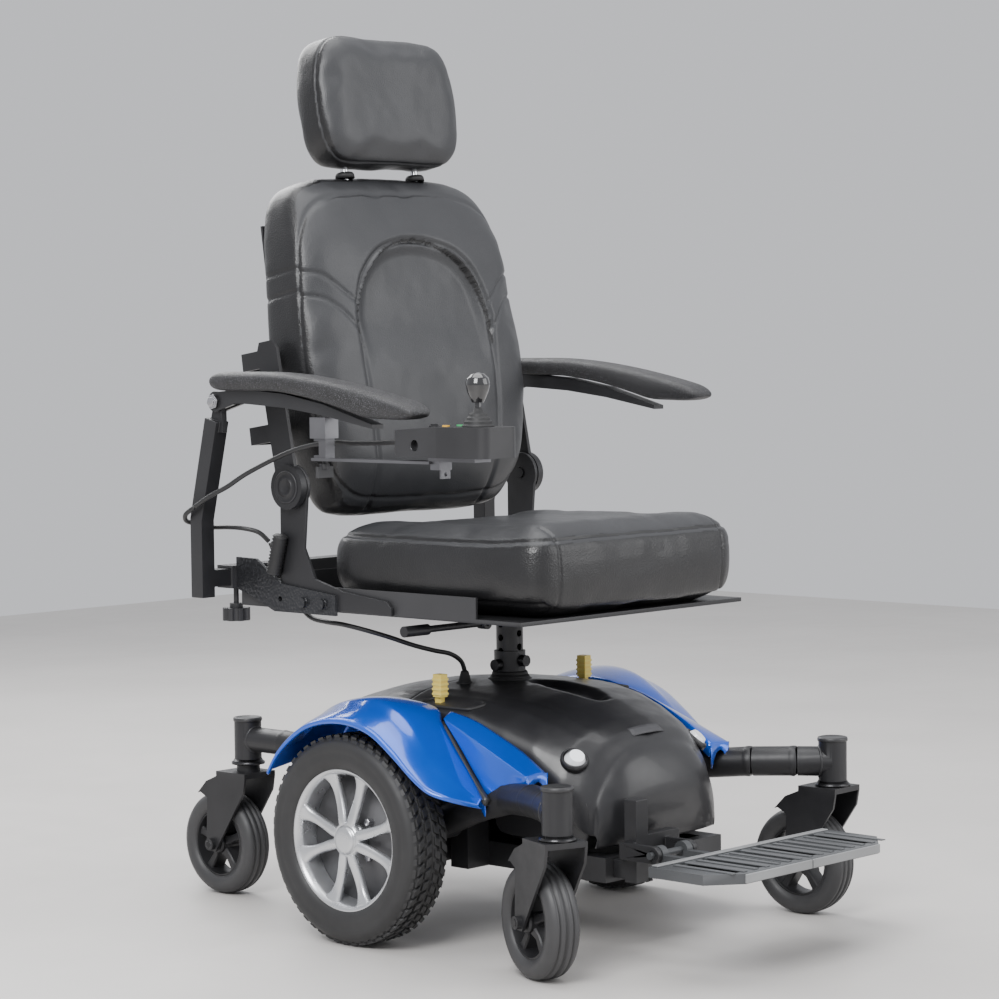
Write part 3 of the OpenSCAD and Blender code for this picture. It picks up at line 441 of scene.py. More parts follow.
def stuff(obj, voxel, cap, pressure=4.0):
    """Inflates a cushion with a short cloth simulation, its movement capped, and applies it."""
    bpy.context.view_layer.objects.active = obj
    r = obj.modifiers.new("remesh", "REMESH")
    r.mode, r.voxel_size = "VOXEL", voxel / 1000
    bpy.ops.object.modifier_apply(modifier="remesh")
    rest = [v.co.copy() for v in obj.data.vertices]
    c = obj.modifiers.new("cloth", "CLOTH")
    c.settings.use_pressure = True
    c.settings.uniform_pressure_force = pressure
    c.settings.effector_weights.gravity = 0
    c.settings.quality = 5
    scene = bpy.context.scene
    for f in range(1, 21):
        scene.frame_set(f)
    bpy.ops.object.modifier_apply(modifier="cloth")
    scene.frame_set(1)
    for v, p in zip(obj.data.vertices, rest):
        d = v.co - p
        if d.length > cap / 1000:
            v.co = p + d.normalized() * cap / 1000
    # foam under the cover evens out the creases
    even = obj.modifiers.new("even", "SMOOTH")
    even.factor, even.iterations = 0.5, 16
    bpy.ops.object.modifier_apply(modifier="even")
    s = obj.modifiers.new("fine", "SUBSURF")
    s.levels = 1
    bpy.ops.object.modifier_apply(modifier="fine")
    for f in obj.data.polygons:
        f.use_smooth = True
    return obj


def nearest(points, p, axes):
    """Distance in the chosen axes from p to a polyline."""
    best = 1e9
    for a, b in zip(points, points[1:]):
        ax = [a[i] for i in axes]
        bx = [b[i] for i in axes]
        px = [p[i] for i in axes]
        d = [v - u for u, v in zip(ax, bx)]
        n = sum(x * x for x in d) or 1e-12
        t = max(0, min(1, sum((px[i] - ax[i]) * d[i] for i in range(len(d))) / n))
        best = min(best, math.sqrt(sum((px[i] - ax[i] - t * d[i]) ** 2 for i in range(len(d)))))
    return best


def reshape(obj, rule):
    """Moves each vertex by rule(point, normal), both in the row frame."""
    normals = [v.normal.copy() for v in obj.data.vertices]
    for v, n in zip(obj.data.vertices, normals):
        v.co += rule(v.co, n)


def seat_outline():
    right = [(150, -310), (209, -300), (229, -258), (233, -120), (229, 20), (216, 110), (178, 132)]
    return [(0, -312)] + right + [(0, 134)] + [(-x, y) for x, y in reversed(right)]


# seat cushion: boxed, dished behind its rolled front edge
seat = cushion("seat_cushion_cover", seat_outline(), 474, 600, (4, 0), mm, 0.23)
stuff(seat, 6, 7)


def seat_rule(p, n):
    x, y, z = p.x * 1000, (p.y - AXLE_Y) * 1000, p.z * 1000
    out = Vector((0, 0, 0))
    if n.z > 0.2:
        dish = ease(-285, -150, y) * (1 - ease(110, 205, abs(x)))
        out.z -= 0.014 * dish
        out.z += 0.006 * (1 - ease(-300, -180, y))
    # the front edge hangs over the pan
    out.z -= 0.012 * (1 - ease(-296, -286, y)) * (1 - ease(490, 520, z))
    if n.z < 0.9:
        for seam_z in (578, 496):
            out -= n * 0.0022 * math.exp(-((z - seam_z) / 2.6) ** 2)
    if n.y < -0.3:
        for seam_x in (-178, 178):
            out -= n * 0.0022 * math.exp(-((x - seam_x) / 2.6) ** 2)
    return out + n * (noise.noise(p * 16) * 0.0012 + noise.noise(p * 40) * 0.0005)


reshape(seat, seat_rule)
# painted shade: the seat's side faces take the darker copy of the vinyl and its top takes the plain vinyl
seat.data.materials.append(MATS["vinyl_side_painted_shade"])
seat.data.materials.append(MATS["vinyl"])
for f in seat.data.polygons:
    f.material_index = 1 if f.normal.z > 0.55 else 0
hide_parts("seat_cushion")
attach(seat, "seat")

# back cushion
BACK_LINE = [(-140, 466), (-60, 470), (60, 470), (140, 466), (192, 446), (216, 400), (229, 310),
             (236, 200), (230, 110), (214, 40), (188, -24), (150, -52), (0, -56), (-150, -52), (-188, -24),
             (-214, 40), (-230, 110), (-236, 200), (-229, 310), (-216, 400), (-192, 446)]


def back_point(x, z, y):
    """Back cushion point: the small of the back stands forward and the top leans away."""
    lift = 10 * math.exp(-((z - 130) / 130) ** 2) - 26 * ease(330, 470, z) - 22 * (1 - ease(-50, 30, z))
    return back(x, y - lift * (1 if y < 0 else 0.15), z)


backrest = cushion("back_cushion_cover", [(x * 1.01, z + 2) for x, z in BACK_LINE], -52, 58, (0, 6),
                   back_point, 0.15)
stuff(backrest, 6, 7)


def arch():
    """Edge of the recessed centre panel, up one side and down the other."""
    half = [(-122, -40), (-128, 20), (-136, 110), (-142, 215), (-140, 255), (-122, 305), (-84, 342),
            (-36, 358), (0, 361)]
    return half + [(-x, z) for x, z in reversed(half[:-1])]


ARCH = spline([Vector((x, 0, z)) for x, z in arch()], 5)
WELTS = []
for sx in (-1, 1):
    for outer, inner, low in ((314, 298, 264), (278, 262, 220)):
        run = ((236, outer), (200, (outer + inner) / 2 + 3), (172, inner - 8), (142, low))
        WELTS.append(spline([Vector((sx * x, 0, z)) for x, z in run], 5))
IN_BACK = Matrix.Rotation(BACK_LEAN, 3, "X")


def local(p):
    """Row-frame point to back-frame millimetres."""
    return IN_BACK @ (p - HINGE) * 1000


def inside_arch(x, z):
    if z > 215:
        return (x / 142) ** 2 + ((z - 215) / 146) ** 2 < 1
    return abs(x) < 122 + 20 * (z + 40) / 255


def back_rule(p, n):
    q = local(p)
    front = ease(0.2, 0.6, -(IN_BACK @ n).y)
    out = Vector((0, 0, 0))
    if front > 0:
        d = nearest(ARCH, q, (0, 2))
        up = ease(150, 260, q.z)
        if inside_arch(q.x, q.z):
            out -= n * front * (0.010 * up * ease(0, 26, d) + 0.004 * up)
        else:
            out += n * front * 0.004 * up * math.exp(-(d / 26) ** 2)
        out -= n * front * (0.0032 + 0.003 * up) * math.exp(-(d / 4.2) ** 2)
        for w in WELTS:
            if abs(q.z - 270) < 80:
                dw = nearest(w, q, (0, 2))
                out -= n * front * 0.0026 * math.exp(-(dw / 3.0) ** 2)
    if q.y > -58 and abs((IN_BACK @ n).y) < 0.9:
        for yy in (-34, 50):
            out -= n * 0.0018 * math.exp(-(abs(q.y - yy) / 2.6) ** 2)
        if abs(q.x) > 150 and abs(q.z - 250) < 80 and q.y > -34:
            for zz in (318, 284):
                out -= n * 0.0022 * math.exp(-(abs(q.z - zz + 0.05 * q.y) / 3) ** 2)
    return out + n * (noise.noise(p * 14) * 0.001 + noise.noise(p * 38) * 0.0004)


reshape(backrest, back_rule)
# painted shade: all but the forward faces of the back take the darker copy of the vinyl
for m in ("vinyl_side_painted_shade", "vinyl"):
    backrest.data.materials.append(MATS[m])
for f in backrest.data.polygons:
    f.material_index = 1 if (IN_BACK @ f.normal).y < -0.6 else 0
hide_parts("back_cushion")
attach(backrest, "back")

# headrest cushion
HEAD_HALF = [(96, 677), (132, 658), (146, 618), (150, 568), (144, 514), (122, 484), (90, 478)]
HEAD_LINE = [(0, 681)] + HEAD_HALF + [(0, 476)] + [(-x, z) for x, z in reversed(HEAD_HALF)]


def head_point(x, z, y):
    """Headrest point: the sides stand a little forward of the middle."""
    wrap = 0.00042 * x * x * (1 if y < 0 else 0.3)
    return back(x, y - wrap, z)


head = cushion("headrest_cover", [(x * 0.98, z) for x, z in HEAD_LINE], -50, 28, (3, 3), head_point)
stuff(head, 5, 5)


def head_rule(p, n):
    q = local(p)
    out = Vector((0, 0, 0))
    if abs((IN_BACK @ n).y) < 0.92:
        out -= n * 0.0022 * math.exp(-(abs(q.y + 34) / 2.4) ** 2)
    return out + n * (noise.noise(p * 16) * 0.001 + noise.noise(p * 44) * 0.0004)


reshape(head, head_rule)
# painted shade: all but the forward faces of the headrest take the darker copy of the vinyl
for m in ("vinyl_side_painted_shade", "vinyl"):
    head.data.materials.append(MATS[m])
for f in head.data.polygons:
    f.material_index = 1 if (IN_BACK @ f.normal).y < -0.5 else 0
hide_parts("headrest_cushion")
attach(head, "headrest")


# ---------- arm pads ----------
PAD_DEPTH = [(0, 25), (150, 25), (230, 29), (280, 33), (330, 38), (390, 26), (430, 16)]


def along(table, x):
    """Value at x on a line through the table's points."""
    for (x0, v0), (x1, v1) in zip(table, table[1:]):
        if x <= x1:
            return v0 + (v1 - v0) * (x - x0) / (x1 - x0)
    return table[-1][1]


def round_end(distance, run):
    """Share of the full section at a distance from an end that rounds off over run."""
    return math.sqrt(max(0.0, 1 - (1 - min(1, distance / run)) ** 2))


def arm_pad(side):
    """A padded arm rest that droops and thins towards its front."""
    lo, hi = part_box(f"arm_pad_{side}")
    m = Maker(f"arm_pad_{side}_skin")
    width, cx = (hi.x - lo.x) / 2, (lo.x + hi.x) / 2
    rows = []
    for i in range(25):
        y = hi.y + (lo.y - hi.y) * i / 24
        behind = (hi.y - y) * 1000
        drop = 0 if behind < 120 else 0.048 * ((behind - 120) / 310) ** 1.7
        thick = along(PAD_DEPTH, behind) / 1000
        end = max(min(1, round_end(behind, 26), round_end(430 - behind, 30)), 0.15)
        row = []
        for k in range(24):
            a = 2 * math.pi * k / 24
            c, s = math.cos(a), math.sin(a)
            px = abs(c) ** 0.45 * (1 if c > 0 else -1) * (1 if s > -0.2 else 0.93)
            pz = abs(s) ** 0.5 * (1 if s > 0 else -1)
            crown = 0.003 * (1 - c * c) if s > 0 else 0
            row.append(Vector((cx + width * 0.98 * px * (0.55 + 0.45 * end), y,
                               hi.z - 0.003 - drop - thick / 2 + thick / 2 * pz * end + crown)))
        rows.append(row)
    m.grid(rows, close_u=True, cap=True)
    pad = m.done("pad_skin", f"armrest_{side}", levels=2, stands_for=[f"arm_pad_{side}"])


for side, _ in SIDES:
    arm_pad(side)


# ---------- fenders ----------
CREST = [(187, 150, 252), (187, 122, 298), (187, 66, 328), (187, 0, 340), (187, -48, 341),
         (193, -78, 336), (208, -97, 323), (219, -135, 289), (229, -175, 254), (239, -210, 222)]
LIP = [(322, 150, 238), (322, 121, 276), (322, 66, 313), (322, 0, 325), (322, -60, 315),
       (322, -108, 286), (321, -148, 256), (318, -176, 240), (300, -203, 230), (264, -223, 219)]
WEDGE_IN = [(189, -98, 335), (185, -140, 326), (184, -180, 311), (181, -230, 288), (179, -274, 260)]
WEDGE_RIDGE = [(209, -102, 325), (214, -140, 312), (219, -180, 297), (222, -230, 277), (224, -275, 259)]
WEDGE_LOW = [(211, -106, 321), (219, -146, 284), (228, -186, 246), (230, -215, 222), (219, -275, 222)]
# path of a black tube that is painted shade: it stands in for the shade in the groove between the two fender panels
GROOVE_SHADE_LINE = [(205, -98, 316), (217, -140, 279), (229, -182, 242), (238, -214, 218)]
FENDER_WALL = 2.5


def edge_line(points, sx):
    """A smooth edge on the side sx, from points drawn for the left-hand side."""
    return spline([mm(sx * x, y, z) for x, y, z in points], 4)


def fender_arch(side, sx):
    """Panel over the wheel, from the crest at the hood to the lip outside the tyre."""
    m = Maker(f"fender_{side}_arch")
    rows = []
    crest, lip = edge_line(CREST, sx), edge_line(LIP, sx)
    out, up = Vector((sx, 0, 0)), Vector((0, 0, 1))
    inset = out * -0.004
    for i, (c, e) in enumerate(zip(crest, lip)):
        run = e - c
        bulge = 0.016 * math.sin(math.pi * min(1, i / (len(crest) - 1) * 1.4)) + 0.004
        section = ((0.2, 0.6), (0.42, 0.95), (0.58, 1.0), (0.62, 0.72), (0.8, 0.45), (0.955, 0.16))
        rows.append([c + inset - up * 0.03, c + inset - up * 0.004, c + out * 0.002]
                    + [c + run * share + up * bulge * rise for share, rise in section]
                    + [e, e - out * 0.002 - up * 0.006, e - out * 0.008 - up * 0.007])
    m.grid(rows)
    m.done("fender_blue", "base", levels=1, stands_for=[f"fender_{side}"], thick=FENDER_WALL)


def fender_wedge(side, sx):
    """Panel ahead of the wheel, beside the hood."""
    m = Maker(f"fender_{side}_wedge")
    rows = []
    for a, b, c in zip(*(edge_line(points, sx) for points in (WEDGE_IN, WEDGE_RIDGE, WEDGE_LOW))):
        rows.append([a - Vector((0, 0, 0.024)), a - Vector((0, 0, 0.002)), a + (b - a) * 0.08, a + (b - a) * 0.9,
                     b + Vector((sx * 0.001, 0, -0.001)), b + (c - b) * 0.08, b + (c - b) * 0.93, c,
                     c - Vector((sx * 0.008, 0, 0))])
    m.grid(rows)
    m.done("fender_blue", "base", levels=1, thick=FENDER_WALL)


def fender_front(side, sx):
    """Front end plate with its notch over the arm tube."""
    m = Maker(f"fender_{side}_front")
    y, foot = -275.5, 223
    top = [mm(sx * (179.5 + 43.5 * k / 12), y, 259.5) for k in range(13)]
    turns = [math.pi * k / 12 for k in range(13)]
    notch = [mm(sx * (201 - 17 * math.cos(a)), y, foot - 1 + 27 * math.sin(a)) for a in turns]
    notch[0], notch[-1] = mm(sx * 182, y, foot), mm(sx * 219, y, foot)
    m.grid([top, notch])
    m.done("fender_blue", "base", thick=FENDER_WALL)


def fender_groove_shade(side, sx):
    """Painted shade: a black tube laid in the groove between the two panels stands in for the shade in it."""
    m = Maker(f"fender_{side}_channel")
    m.tube(edge_line(GROOVE_SHADE_LINE, sx), 6, 10)
    m.done("shroud_black", "base")


for side, sx in SIDES:
    for panel in (fender_arch, fender_wedge, fender_front, fender_groove_shade):
        panel(side, sx)

# ---------- hood and rear cover ----------
SHELL_WALL = 3
# Half sections: y, then x and z pairs from the centre line down to the skirt
HOOD_SECTIONS = [(-322, [(0, 280), (40, 278), (72, 268), (96, 246), (118, 214), (126, 168)]),
                 (-305, [(0, 303), (40, 301), (84, 290), (116, 262), (138, 222), (137, 168)]),
                 (-277, [(0, 320), (42, 318), (92, 308), (130, 283), (155, 240), (152, 200)]),
                 (-230, [(0, 339), (44, 337), (98, 328), (136, 309), (162, 280), (163, 235)]),
                 (-180, [(0, 352), (46, 350), (102, 343), (142, 327), (172, 300), (174, 245)]),
                 (-120, [(0, 358), (46, 357), (108, 350), (150, 339), (180, 323), (183, 250)]),
                 (-50, [(0, 358), (46, 357), (110, 351), (150, 340), (184, 324), (185, 250)]),
                 (21, [(0, 358), (46, 357), (110, 350), (150, 338), (184, 322), (185, 250)])]
TAIL_SECTIONS = [(22, [(0, 357), (44, 356), (100, 350), (148, 337), (184, 321), (185, 264)]),
                 (76, [(0, 353), (44, 351), (100, 345), (148, 330), (177, 311), (180, 264)]),
                 (140, [(0, 342), (44, 340), (95, 333), (138, 315), (161, 291), (166, 262)]),
                 (195, [(0, 327), (42, 325), (90, 318), (124, 303), (149, 277), (152, 245)]),
                 (240, [(0, 305), (40, 303), (82, 295), (110, 279), (129, 253), (130, 220)]),
                 (260, [(0, 275), (40, 273), (74, 267), (98, 255), (113, 239), (116, 200)])]


def half_section(sections, y):
    """Half section at y, between the two nearest ones."""
    for (ya, a), (yb, b) in zip(sections, sections[1:]):
        if y <= yb or yb == sections[-1][0]:
            t = (y - ya) / (yb - ya)
            return [((1 - t) * p[0] + t * q[0], (1 - t) * p[1] + t * q[1]) for p, q in zip(a, b)]


def shell_rows(sections, ys):
    """Whole sections of a shell at each y, from its right skirt over the top to its left skirt."""
    rows = []
    for y in ys:
        half = half_section(sections, y)
        line = [Vector((-x, z, 0)) for x, z in reversed(half[1:])] + [Vector((x, z, 0)) for x, z in half]
        rows.append([(p.x, y, p.y) for p in spline(line, 6)])
    return rows


def scoop(x, y):
    """Depth of the teardrop scoop ahead of the seat post."""
    t = (-70 - y) / 150
    if not 0 < t < 1:
        return 0
    half = 34 * math.sin(math.pi * min(1, t * 0.9 + 0.06)) ** 0.6 * (0.55 + 0.5 * t)
    return 11 * (1 - ease(0.62, 1.0, abs(x) / half)) * ease(0, 0.25, t)


def rib(x, y):
    """Height of the raised lines along the shoulders."""
    total = 0
    for line_x in (112, 136):
        at = line_x - 0.18 * max(0, -y - 150)
        total += 1.6 * math.exp(-((abs(x) - at) / 4) ** 2) * ease(10, -40, y) * ease(-300, -260, y)
    return total


def hood_nose(brow):
    """Rows that roll down and under from the last row of the dome."""
    low, corner_x = 0.150, 0.138
    rows = []
    for fall, ahead in ((0.05, 9), (0.12, 17), (0.22, 25), (0.34, 31), (0.48, 34.5), (0.64, 34.5), (0.8, 32),
                        (0.92, 27), (1.0, 19)):
        rows.append([Vector((p.x, p.y - ahead / 1000 * (1 - min(1, abs(p.x) / corner_x) ** 3),
                             low + (p.z - low) * (1 - fall))) for p in brow])
    return rows


def hood_shell():
    m = Maker("hood_shell")
    rows = []
    ys = [21, 10, -5] + [-20 - 6 * i for i in range(48)] + [-311, -316]
    for row in shell_rows(HOOD_SECTIONS, ys):
        rows.append([mm(x, y, z - (scoop(x, y) if z > 300 else 0) + (rib(x, y) if z > 255 else 0))
                     for x, y, z in row])
    m.grid(rows + hood_nose(rows[-1]))
    m.done("shroud_black", "base", levels=1, stands_for=["shroud_hood"], thick=SHELL_WALL)


def hood_skirt(side, sx):
    m = Maker(f"hood_skirt_{side}")
    top = [(137, -312, 222), (142, -270, 232), (140, -220, 238), (136, -160, 240), (134, -124, 240)]
    m.grid([[mm(sx * x, y, z) for x, y, z in top], [mm(sx * (x - 1), y, 195) for x, y, z in top],
            [mm(sx * (x - 5), y, 151) for x, y, z in top]])
    m.done("shroud_black", "base", levels=2, thick=SHELL_WALL)


def rear_cover():
    m = Maker("rear_cover_shell")
    rows = []
    for row in shell_rows(TAIL_SECTIONS, [23 + 7.9 * i for i in range(31)]):
        rows.append([mm(x, y, z + (1.5 * math.exp(-((abs(x) - 118) / 4) ** 2) if z > 270 else 0))
                     for x, y, z in row])
    edge, end_y, low = rows[-1], AXLE_Y + 0.2605, 0.142
    for drop in (0.05, 0.1, 0.132):
        rows.append([Vector((p.x, end_y, max(low, p.z - drop))) for p in edge])
    m.grid(rows)
    m.done("shroud_black", "base", levels=1, stands_for=["shroud_tail"], thick=SHELL_WALL)


def hood_plaque():
    """Blank plate on the nose."""
    m = Maker("hood_plaque")
    rows = []
    for j in range(4):
        fall = j / 3
        rows.append([mm(-34 + 68 * i / 8, -296 - 12 * fall - 5 * (1 - abs(i / 4 - 1)),
                        310.5 - 9.5 * fall - 3 * abs(i / 4 - 1) ** 2) for i in range(9)])
    m.grid(rows)
    m.done("battery_case", "base", thick=1.5)


def lead_grommet():
    m = Maker("lead_grommet")
    m.turned(mm(-64, -6, 352), mm(-64, -6, 370), [(0, 13), (4, 13), (5, 9.5), (18, 6.4), (20, 5.6), (21, 4)], 28)
    m.done("rubber_boot", "base")


def post_collar():
    m = Maker("post_collar")
    profile = [(0, 34), (6, 33), (9, 28), (16, 26.5), (18, 24.5)]
    m.turned(mm(0, -38, 352), mm(0, -38, 372), profile, 48, loop=True)
    m.done("rubber_boot", "base")


def lever_bezel(side, sx):
    m = Maker(f"lever_bezel_{side}")
    corners = ((-15, -118), (15, -118), (15, -26), (-15, -26))
    ring = [mm(sx * 157 + dx, y, 340.5 - (0 if dx * sx < 0 else 6)) for dx, y in corners]
    m.tube(spline(ring + ring[:1], 8)[:-1], 2.6, 8, closed=True)
    m.done("rubber_boot", "base")


def lamp_ring(side, sx):
    m = Maker(f"lamp_ring_{side}")
    m.turned(mm(sx * 131, -281, 270), mm(sx * 137, -289, 282), [(0, 20), (6, 20), (9, 18), (9.5, 16.8)], 32,
             loop=True)
    m.done("shroud_black", "base")


hood_shell()
for side, sx in SIDES:
    hood_skirt(side, sx)
rear_cover()
hood_plaque()
lead_grommet()
post_collar()
for side, sx in SIDES:
    lever_bezel(side, sx)
    lamp_ring(side, sx)


# ---------- drive wheels ----------
TREAD_PITCH = 54
TREAD_ROWS = 6


def around(centre, angle, r):
    """A point at radius r, in millimetres, round an axle along X; angle 0 is the top."""
    return centre + Vector((0, math.sin(angle), math.cos(angle))) * r / 1000


def tyre(side, c, axle, R):
    m = Maker(f"tyre_{side}")
    tread = [(-30, R - 7), (-22, R - 5), (-17, R - 5), (-16, R - 8), (-14, R - 8), (-13, R - 4.5), (-3, R - 4),
             (-2, R - 8)]
    profile = [(-30, 100), (-36, 106), (-39.5, 120), (-39, 132), (-36, 140)] + tread
    profile += [(-d, r) for d, r in reversed(tread)]
    profile += [(36, 140), (38, 136), (38.6, 134), (39.2, 128), (38.2, 124), (39.5, 120), (37, 108), (34, 103),
                (30, 100)]
    m.turned(c, c + axle, profile, 96, loop=True)
    m.done("tyre_rubber", f"wheel_{side}", stands_for=[f"drive_tyre_{side}"])


def tread_blocks(side, c, axle, R):
    """Two staggered centre rows, two outer rows and a shoulder row each side."""
    m = Maker(f"tread_{side}")
    layout = ((-13, -3.5, R - 5, R - 0.6, 0.3), (3.5, 13, R - 5, R - 0.6, -0.3),
              (-27, -17.5, R - 7, R - 1.2, 0.45), (17.5, 27, R - 7, R - 1.2, -0.45),
              (-37.5, -28.5, R - 13, R - 4, 0.15), (28.5, 37.5, R - 13, R - 4, -0.15))
    for k in range(TREAD_PITCH):
        for row, (d0, d1, r0, r1, lean) in enumerate(layout):
            shoulder = row >= 4
            middle = 2 * math.pi * (k + (0.5 if row in (1, 2, 5) else 0)) / TREAD_PITCH
            wide = (0.8 if k % 2 == 0 else 0.6) if shoulder else 0.66
            spread = math.pi / TREAD_PITCH * wide
            corners = []
            for d, end in ((d0, -1), (d1, 1)):
                for turn in (-spread, spread):
                    for r, taper in ((r0, 1), (r1, 0.93)):
                        fall = max(0, abs(d) - 27) ** 1.35 * 0.45 if shoulder else 0
                        a = middle + (turn + lean * end * math.pi / TREAD_PITCH) * taper
                        corners.append(around(c + axle * d / 1000, a, r - fall))
            m.block(corners)
    m.done("tyre_rubber", f"wheel_{side}", bevel=0.5)


def rim(side, c, axle):
    """Barrel with its lip, and a dark disc behind the spokes."""
    m = Maker(f"rim_{side}")
    m.turned(c, c + axle, [(-30, 96), (-26, 92), (-10, 90), (8, 91), (20, 93), (27, 95), (31, 99), (32.5, 101.5),
                           (31, 102.5), (28, 102), (24, 100.5), (-26, 100.5), (-30, 99)], 96, loop=True)
    m.done("rim_silver", f"wheel_{side}", stands_for=[f"drive_rim_{side}"])
    m = Maker(f"rim_back_{side}")
    m.turned(c, c + axle, [(-6, 0), (-6, 91), (-2, 91), (-2, 0)], 64)
    m.done("motor_grey", f"wheel_{side}")


def spokes(side, c, axle):
    """Eight spokes in four pairs, each widening to the rim and to the hub."""
    m = Maker(f"rim_face_{side}")
    # radius, angles of the two edges from the middle of the pair, and height of the face
    stations = ((20, 0.0, 0.72, 27), (32, 0.04, 0.60, 25.5), (46, 0.13, 0.49, 23), (62, 0.19, 0.44, 21.5),
                (78, 0.215, 0.43, 22), (90, 0.20, 0.46, 25), (97, 0.17, 0.52, 28.5))
    for pair in range(4):
        for lean in (-1, 1):
            rows = []
            for r, near, far, height in stations:
                section = ((near, -9), (near + 0.012, -1.2), ((near * 3 + far) / 4, 0.6),
                           ((near + 3 * far) / 4, 0.6), (far - 0.02, -1.2), (far, -9))
                rows.append([around(c + axle * (height + lift) / 1000, pair * math.pi / 2 + lean * a, r)
                             for a, lift in section])
            m.grid(rows)
    m.done("rim_silver", f"wheel_{side}", levels=1, thick=3)


def hub(side, c, axle):
    m = Maker(f"hub_{side}")
    m.turned(c, c + axle, [(0, 20), (14, 27), (24, 25.5), (26.5, 23), (27, 21.5), (25.6, 20.8), (25.6, 19.8),
                           (29, 19.2), (31, 17), (31.8, 12), (32, 0)], 48)
    m.done("rim_silver", f"wheel_{side}")
    m = Maker(f"rim_nuts_{side}")
    for k in range(4):
        p = around(c, math.pi / 4 + k * math.pi / 2, 36)
        m.turned(p, p + axle, [(-2, 6), (8, 6), (9, 5), (9.2, 0)], 6)
    m.done("steel", f"wheel_{side}", bevel=0.5)


for side, sx in SIDES:
    lo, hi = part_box(f"drive_tyre_{side}")
    centre, outward, radius = (lo + hi) / 2, Vector((sx, 0, 0)), (hi.z - lo.z) / 2 * 1000
    tyre(side, centre, outward, radius)
    tread_blocks(side, centre, outward, radius)
    rim(side, centre, outward)
    spokes(side, centre, outward)
    hub(side, centre, outward)


# ---------- casters ----------
YAW = {"front_right": 20, "front_left": -2, "rear_right": 0, "rear_left": 4}
# Swivel axes: distance from the centre plane, place along the chair, and height of the crown cap
SWIVEL = {"front": (305, -405, 202), "rear": (145, 385, 214)}


def caster_tyre(key, c, axle, R):
    m = Maker(f"caster_tyre_{key}")
    half = 24
    side = [(half - 5, R - 28), (half - 1, R - 20), (half, R - 13), (half - 3, R - 6), (half - 8, R - 2), (12, R - 0.8),
            (11, R - 3.4), (9.4, R - 3.4), (8.4, R - 0.4), (3, R), (2, R - 3), (0.4, R - 3)]
    m.turned(c, c + axle, [(-d, r) for d, r in side] + side[::-1], 72, loop=True)
    m.done("caster_rubber", f"caster_{key}", stands_for=[f"caster_{key}"])


def caster_hub(key, c, axle, R):
    """Ring, bore tube and five flared spokes."""
    m = Maker(f"caster_hub_{key}")
    m.turned(c, c + axle, [(-18, R - 28), (-19, R - 31), (-10, R - 33), (10, R - 33), (19, R - 31), (18, R - 28)],
             48, loop=True)
    m.turned(c, c + axle, [(-24, 7), (-24, 14), (-21, 16), (21, 16), (24, 14), (24, 7)], 32, loop=True)
    up = Vector((0, 0, 1))
    level = up.cross(axle)
    section = ((-1, -0.8), (-0.7, -1), (0.7, -1), (1, -0.8), (1, 0.8), (0.7, 1), (-0.7, 1), (-1, 0.8))
    for k in range(5):
        t = 2 * math.pi * k / 5 + 0.3
        out = level * math.cos(t) + up * math.sin(t)
        across = out.cross(axle)
        rows = []
        for r, wide, deep in ((13, 8, 18), (26, 6, 13), (R - 34, 7, 14), (R - 30, 10, 15)):
            rows.append([c + out * r / 1000 + (across * wide * u + axle * deep * v) / 1000 for u, v in section])
        m.grid(rows, close_u=True, cap=True)
    m.done("frame_black", f"caster_{key}", bevel=0.5)


def fork_trim(key, c, axle):
    """Axle bolt heads and the round cap on the fork's crown."""
    m = Maker(f"fork_axle_{key}")
    for end in (-1, 1):
        p = c + axle * end * 0.032
        m.turned(p, p + axle * end, [(0, 9), (1.5, 9), (1.6, 6.5), (7, 6.5), (8, 5.5), (8, 0)], 6)
    m.done("bolt_black", f"fork_{key}", bevel=0.4)
    m = Maker(f"fork_cap_{key}")
    x, y, top = SWIVEL[key.split("_")[0]]
    x *= -1 if key.endswith("right") else 1
    m.turned(mm(x, y, top - 6), mm(x, y, top), [(0, 26), (3, 26), (5, 23), (8, 21.5)], 40, loop=True)
    m.done("bolt_black", f"fork_{key}")


for key, yaw in YAW.items():
    lo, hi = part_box(f"caster_{key}")
    centre, radius = (lo + hi) / 2, (hi.z - lo.z) * 500
    axle = Vector((math.cos(math.radians(-yaw)), math.sin(math.radians(-yaw)), 0))
    caster_tyre(key, centre, axle, radius)
    caster_hub(key, centre, axle, radius)
    fork_trim(key, centre, axle)


def barrel_cap(end, side, x, y, top, body):
    m = Maker(f"barrel_cap_{end}_{side}")
    profile = [(0, 21.3), (0, 22.4), (3, 22.6), (5.4, 21.6), (6, 19), (5.2, 17.5), (5.6, 0)]
    m.turned(mm(x, y, top - 5), mm(x, y, top), profile, 48)
    m.done("controller_black", body)


def barrel_weld(end, side, centre, toward, r, body):
    """Weld bead where an arm tube of radius r meets its barrel."""
    m = Maker(f"barrel_weld_{end}_{side}")
    across = toward.cross(Vector((0, 0, 1)))
    ring = []
    for t in (2 * math.pi * k / 40 for k in range(40)):
        forward = toward * 0.0195 * math.sqrt(max(0.2, 1 - (0.62 * math.cos(t)) ** 2))
        around_tube = across * math.cos(t) * 0.9 + Vector((0, 0, math.sin(t)))
        ring.append(centre + forward + around_tube * (r + 0.6) / 1000)
    m.tube(ring, 2.4, 8, closed=True)
    m.done("frame_black", body)


for side, sx in SIDES:
    barrel_cap("front", side, sx * 305, -405, 268, f"front_arm_{side}")
    inward = Vector((-0.55 * sx, 0.78, 0)).normalized()
    barrel_weld("front", side, mm(sx * 305, -405, 232), inward, 22, f"front_arm_{side}")
    barrel_cap("rear", side, sx * 145, 385, 280, "base")
    barrel_weld("rear", side, mm(sx * 145, 385, 247), Vector((0, -1, 0)), 19, "base")

